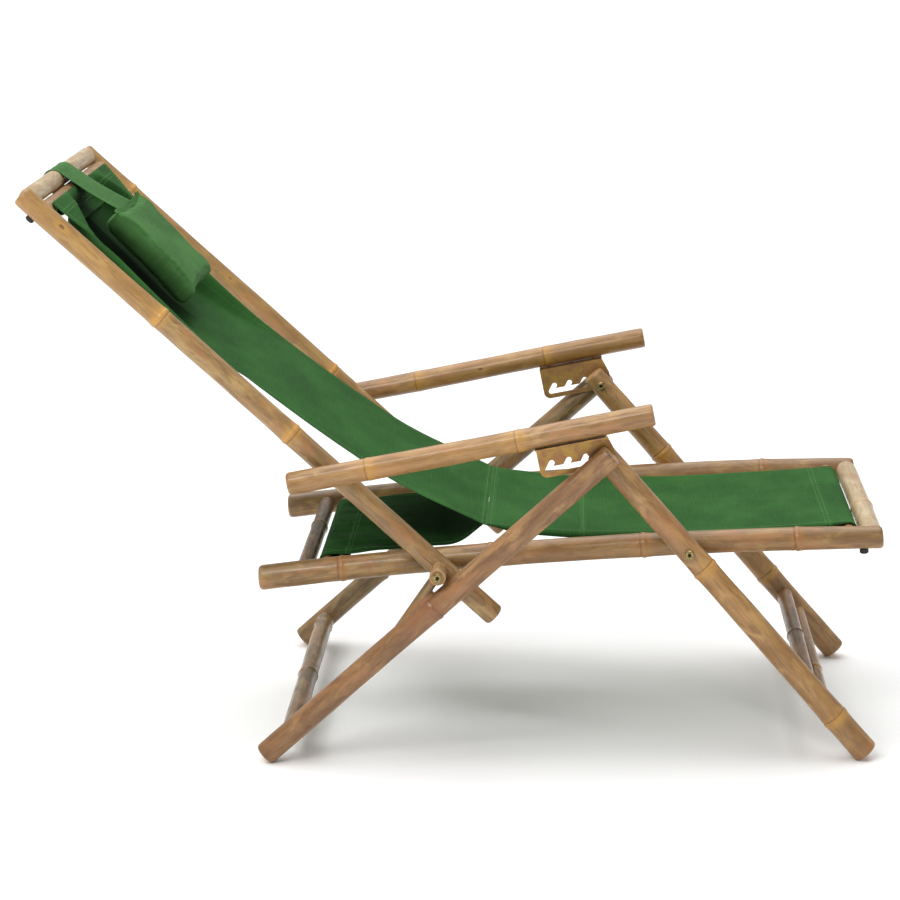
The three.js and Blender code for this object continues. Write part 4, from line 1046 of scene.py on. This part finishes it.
def pillow_form():
    """The pillow before it is filled: a soft slab with drawn-in sides, smaller than the filled one."""
    rows, columns = 31, 43
    shrink = 0.003
    points = []
    for face in (1, -1):
        for t in np.linspace(-1, 1, rows):
            for s in np.linspace(-1, 1, columns):
                rounding = (1 - abs(s) ** 14) ** 0.5 * (1 - abs(t) ** 12) ** 0.5
                height = PILLOW["thick"] * 0.5 * (1 + face * (0.72 + 0.28 * rounding) * 0.72) - 0.002
                across = s * (1 - shrink / PILLOW["half_width"])
                points.append(pillow_point(across, t * (1 - shrink / 0.1), height))
    return np.array(points), slab_faces(rows, columns)


def fill_with_air(piece):
    """Swells a closed cloth form by a short simulation, and caps how far a point may move."""
    remesh = piece.modifiers.new("remesh", "REMESH")
    remesh.mode = "VOXEL"
    remesh.voxel_size = PILLOW_VOXEL
    apply_modifiers(piece)
    before = np.array([v.co for v in piece.data.vertices])
    settings = piece.modifiers.new("cloth", "CLOTH").settings
    settings.quality = 5
    settings.mass = 0.3
    settings.use_pressure = True
    settings.uniform_pressure_force = PILLOW_PRESSURE
    settings.effector_weights.gravity = 0
    scene = bpy.context.scene
    for step in range(1, PILLOW_FRAMES + 1):
        scene.frame_set(step)
    apply_modifiers(piece)
    move = np.array([v.co for v in piece.data.vertices]) - before
    reach = np.linalg.norm(move, axis=1)[:, None]
    after = before + move * np.minimum(1, PILLOW_SWELL / np.maximum(reach, 1e-9))
    piece.data.vertices.foreach_set("co", after.ravel())
    piece.data.update()
    scene.frame_set(1)
    subdivide = piece.modifiers.new("smooth", "SUBSURF")
    subdivide.levels = subdivide.render_levels = 1
    apply_modifiers(piece)


def apply_modifiers(piece):
    bpy.context.view_layer.update()
    graph = bpy.context.evaluated_depsgraph_get()
    mesh = bpy.data.meshes.new_from_object(piece.evaluated_get(graph))
    old = piece.data
    piece.modifiers.clear()
    piece.data = mesh
    bpy.data.meshes.remove(old)


def pillow_cloth():
    """The filled pillow: gathered at its ends and sides, flat where it lies on the back, with painted shade
    beneath it and on its near side.
    """
    points, faces = pillow_form()
    piece = make_piece("pillow_cloth", points, faces, FADED, None, ["pillow"], 80)
    fill_with_air(piece)
    mesh = piece.data
    co = np.array([v.co for v in mesh.vertices])
    normals = np.array([v.normal for v in mesh.vertices])
    out = along((0, 0), PILLOW_TILT - 90, 1)
    t = ((co[:, [0, 2]] - PILLOW_MIDDLE) @ along((0, 0), PILLOW_TILT, 1)) / (PILLOW["length"] / 2)
    h = (co[:, [0, 2]] - PILLOW_MIDDLE) @ out
    s = (co[:, 1] - PILLOW["y"] - PILLOW["turn"] * (t - 1)) / PILLOW["half_width"]
    phases = random_phases(21, 6)
    side_gather = smooth_step(np.abs(s), 0.86, 1.0)
    ripple = 0.0020 * smooth_step(t, 0.72, 1.0) * np.sin(s * 46 + phases[0] + 2 * np.sin(s * 9))
    ripple += 0.0009 * smooth_step(-t, 0.8, 1.0) * np.sin(s * 36 + phases[1])
    ripple += 0.0009 * side_gather * np.sin(t * 22 + phases[2])
    ripple += 0.0008 * np.sin(s * 6 + t * 4 + phases[3]) * np.sin(t * 5 + phases[4])
    co = co + normals * ripple[:, None]
    floor = 0.0015 + 0.0035 * np.clip(1 - s * s, 0, 1)
    sink = np.clip(floor - h, 0, 1)
    co[:, 0] += out[0] * sink
    co[:, 2] += out[1] * sink
    mesh.vertices.foreach_set("co", co.ravel())
    set_attribute(mesh, "cloth", np.stack([co[:, 1], t * 0.1, 0 * t], -1))
    set_attribute(mesh, "seam", bell(h, PILLOW["thick"] * 0.3, 0.002) * side_gather)
    # Painted shade: darker towards the underside, where the pillow meets the sling, and on the faces turned to the
    # near side, away from the key light
    under = 1 - smooth_step(h, PILLOW["thick"] * 0.1, PILLOW["thick"] * 0.85)
    near_face_shade = smooth_step(-normals[:, 1], 0.30, 0.72)
    shade = near_face_shade * (0.40 + 0.50 * under) + 0.35 * under * (1 - near_face_shade)
    set_attribute(mesh, "painted_shade", np.clip(shade, 0, 0.9))
    mesh.shade_smooth()
    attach(piece, "back_frame")
    ruffle(s, t, h)


def ruffle(s, t, h):
    """The gathered frill along the pillow's upper edge, found from its points' shares and heights."""
    columns, rows = 181, 5
    lanes = np.linspace(-0.94, 0.94, columns)
    height = PILLOW["thick"] * 0.74
    band = np.abs(h - height) < 0.006
    edge = np.array([t[band & (np.abs(s - lane) < 0.05)].max() for lane in lanes])
    edge = np.convolve(np.pad(edge, 6, "edge"), np.ones(13) / 13, "valid") * PILLOW["length"] / 2
    wave = 0.0015 * np.sin(lanes * 96 + 1.5 * np.sin(lanes * 13)) + 0.0008 * np.sin(lanes * 41)
    points = []
    for row in np.linspace(0, 1, rows):
        for lane, root, ripple in zip(lanes, edge, wave):
            reach = root - 0.0030 + (0.0075 + 0.0011 * math.sin(lane * 61)) * row
            place = along(PILLOW_MIDDLE, PILLOW_TILT, reach)
            place = along(place, PILLOW_TILT - 90, height + ripple * (0.3 + 0.7 * row))
            points.append(at_y(place, PILLOW["y"] + lane * PILLOW["half_width"]))
    middle = np.array(points).reshape(rows, columns, 3)
    surface = (middle, grid_normals(middle), np.linspace(0, 0.0100, rows), middle[..., 1])
    piece = cloth_piece("pillow_ruffle", surface, [], hem=0.002, canvas=FADED)
    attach(piece, "back_frame")


def strap_cloth():
    """The band from the pillow's upper edge over the top bar, hanging down behind it."""
    centre = on_back(BACK_REACH - TOP_BAR[0])
    wrap = arc(centre, TOP_BAR[1] + 0.0014, OFF_BACK + 4, BACK_ANGLE + 100, 30)
    edge = along(along(PILLOW_TOP, PILLOW_TILT, -0.0080), PILLOW_TILT - 90, PILLOW["thick"] * 0.50)
    low = along((edge + wrap[0]) / 2, OFF_BACK, -0.002)
    front = curve_through([edge, low, wrap[0]])
    tail_end = along(wrap[-1], BACK_ANGLE + 180, 0.055)
    tail = curve_through([wrap[-1], (wrap[-1] + tail_end) / 2 + np.array([0.0006, 0.0]), tail_end])
    path = joined(front, wrap, tail)

    def lift(s, u):
        return 0.0005 * np.sin(u * 6 + s * 30) + 0.0006 * bell(s, 0, 0.012) * np.sin(u * 19)

    surface = cloth_surface(path, np.full(len(path), STRAP_HALF), lift, 45)
    edges = {"hem": 0.008, "thick": 0.0012}
    piece = cloth_piece("pillow_strap_cloth", surface, ["pillow_strap"], canvas=FADED, **edges)
    thread = stitches("pillow_strap_thread", surface, **edges)
    for part in (piece, thread):
        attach(part, "back_frame")


seat_frame_canes()
back_frame_canes()
front_leg_canes()
rear_leg_canes()
armrest_canes()
fasteners()
back_cloth()
seat_cloth()
rear_cloth()
pillow_cloth()
strap_cloth()


# Camera, light and floor
def place_camera():
    camera_data = bpy.data.cameras.new("photo_camera")
    camera_data.sensor_fit = "HORIZONTAL"
    camera_data.sensor_width = SENSOR_MM
    camera_data.lens = FOCAL_PX * SENSOR_MM / IMAGE_PX
    camera_data.clip_end = 100
    camera = add_object("photo_camera", camera_data)
    pitch, yaw, roll = (math.radians(a) for a in (CAMERA_PITCH, CAMERA_YAW, CAMERA_ROLL))
    forward = Vector((math.sin(yaw) * math.cos(pitch), math.cos(yaw) * math.cos(pitch), -math.sin(pitch)))
    camera.rotation_euler = forward.to_track_quat("-Z", "Y").to_euler()
    camera.rotation_euler.rotate_axis("Z", roll)
    offset = CAMERA_FROM_LEG_PIVOT
    camera.location = (LEG_PIVOT[0] + offset[0], offset[1], LEG_PIVOT[1] + offset[2])
    bpy.context.scene.camera = camera


def add_light(name, kind, place, aim, power, **settings):
    data = bpy.data.lights.new(name, kind)
    data.energy = power
    for key, value in settings.items():
        setattr(data, key, value)
    light = add_object(name, data)
    light.location = place
    light.rotation_euler = (Vector(aim) - Vector(place)).to_track_quat("-Z", "Y").to_euler()


def light_and_floor():
    world = bpy.data.worlds.new("studio")
    world.use_nodes = True
    background = world.node_tree.nodes["Background"].inputs
    background["Color"].default_value = (1, 1, 1, 1)
    background["Strength"].default_value = WORLD_LIGHT
    bpy.context.scene.world = world
    bpy.context.scene.view_settings.view_transform = "Standard"
    add_light("key", "SUN", (0, 0, 0), KEY["direction"], KEY["power"], angle=math.radians(KEY["spread"]))
    add_light("stripe", "AREA", STRIPE["place"], STRIPE["aim"], STRIPE["power"],
              shape="RECTANGLE", size=STRIPE["size"][0], size_y=STRIPE["size"][1])
    n = Nodes("pale floor")
    colour = n.mix(n.noise(n.place(), 3.0), linear(249, 249, 249), linear(253, 253, 253))
    mesh = bpy.data.meshes.new("floor")
    corners = [(x * FLOOR_REACH, y * FLOOR_REACH, 0) for x, y in ((-1, -1), (1, -1), (1, 1), (-1, 1))]
    mesh.from_pydata(corners, [], [(0, 1, 2, 3)])
    mesh.materials.append(n.finish(Base_Color=colour, Roughness=0.95, Specular_IOR_Level=0.1))
    floor = add_object("floor", mesh)


place_camera()
light_and_floor()

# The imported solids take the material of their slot
SLOT_MATERIALS = {"canvas": CANVAS, "black_rubber": RUBBER, "zinc_steel": ZINC,
                  "passivated_steel": PASSIVATED, "bamboo": TAN, "pale_bamboo": PALE}
for part in frame["record"]["subparts"]:
    node = frame["nodes"][part["node"]]
    node.data.materials.clear()
    node.data.materials.append(SLOT_MATERIALS[part["material_slot"]])
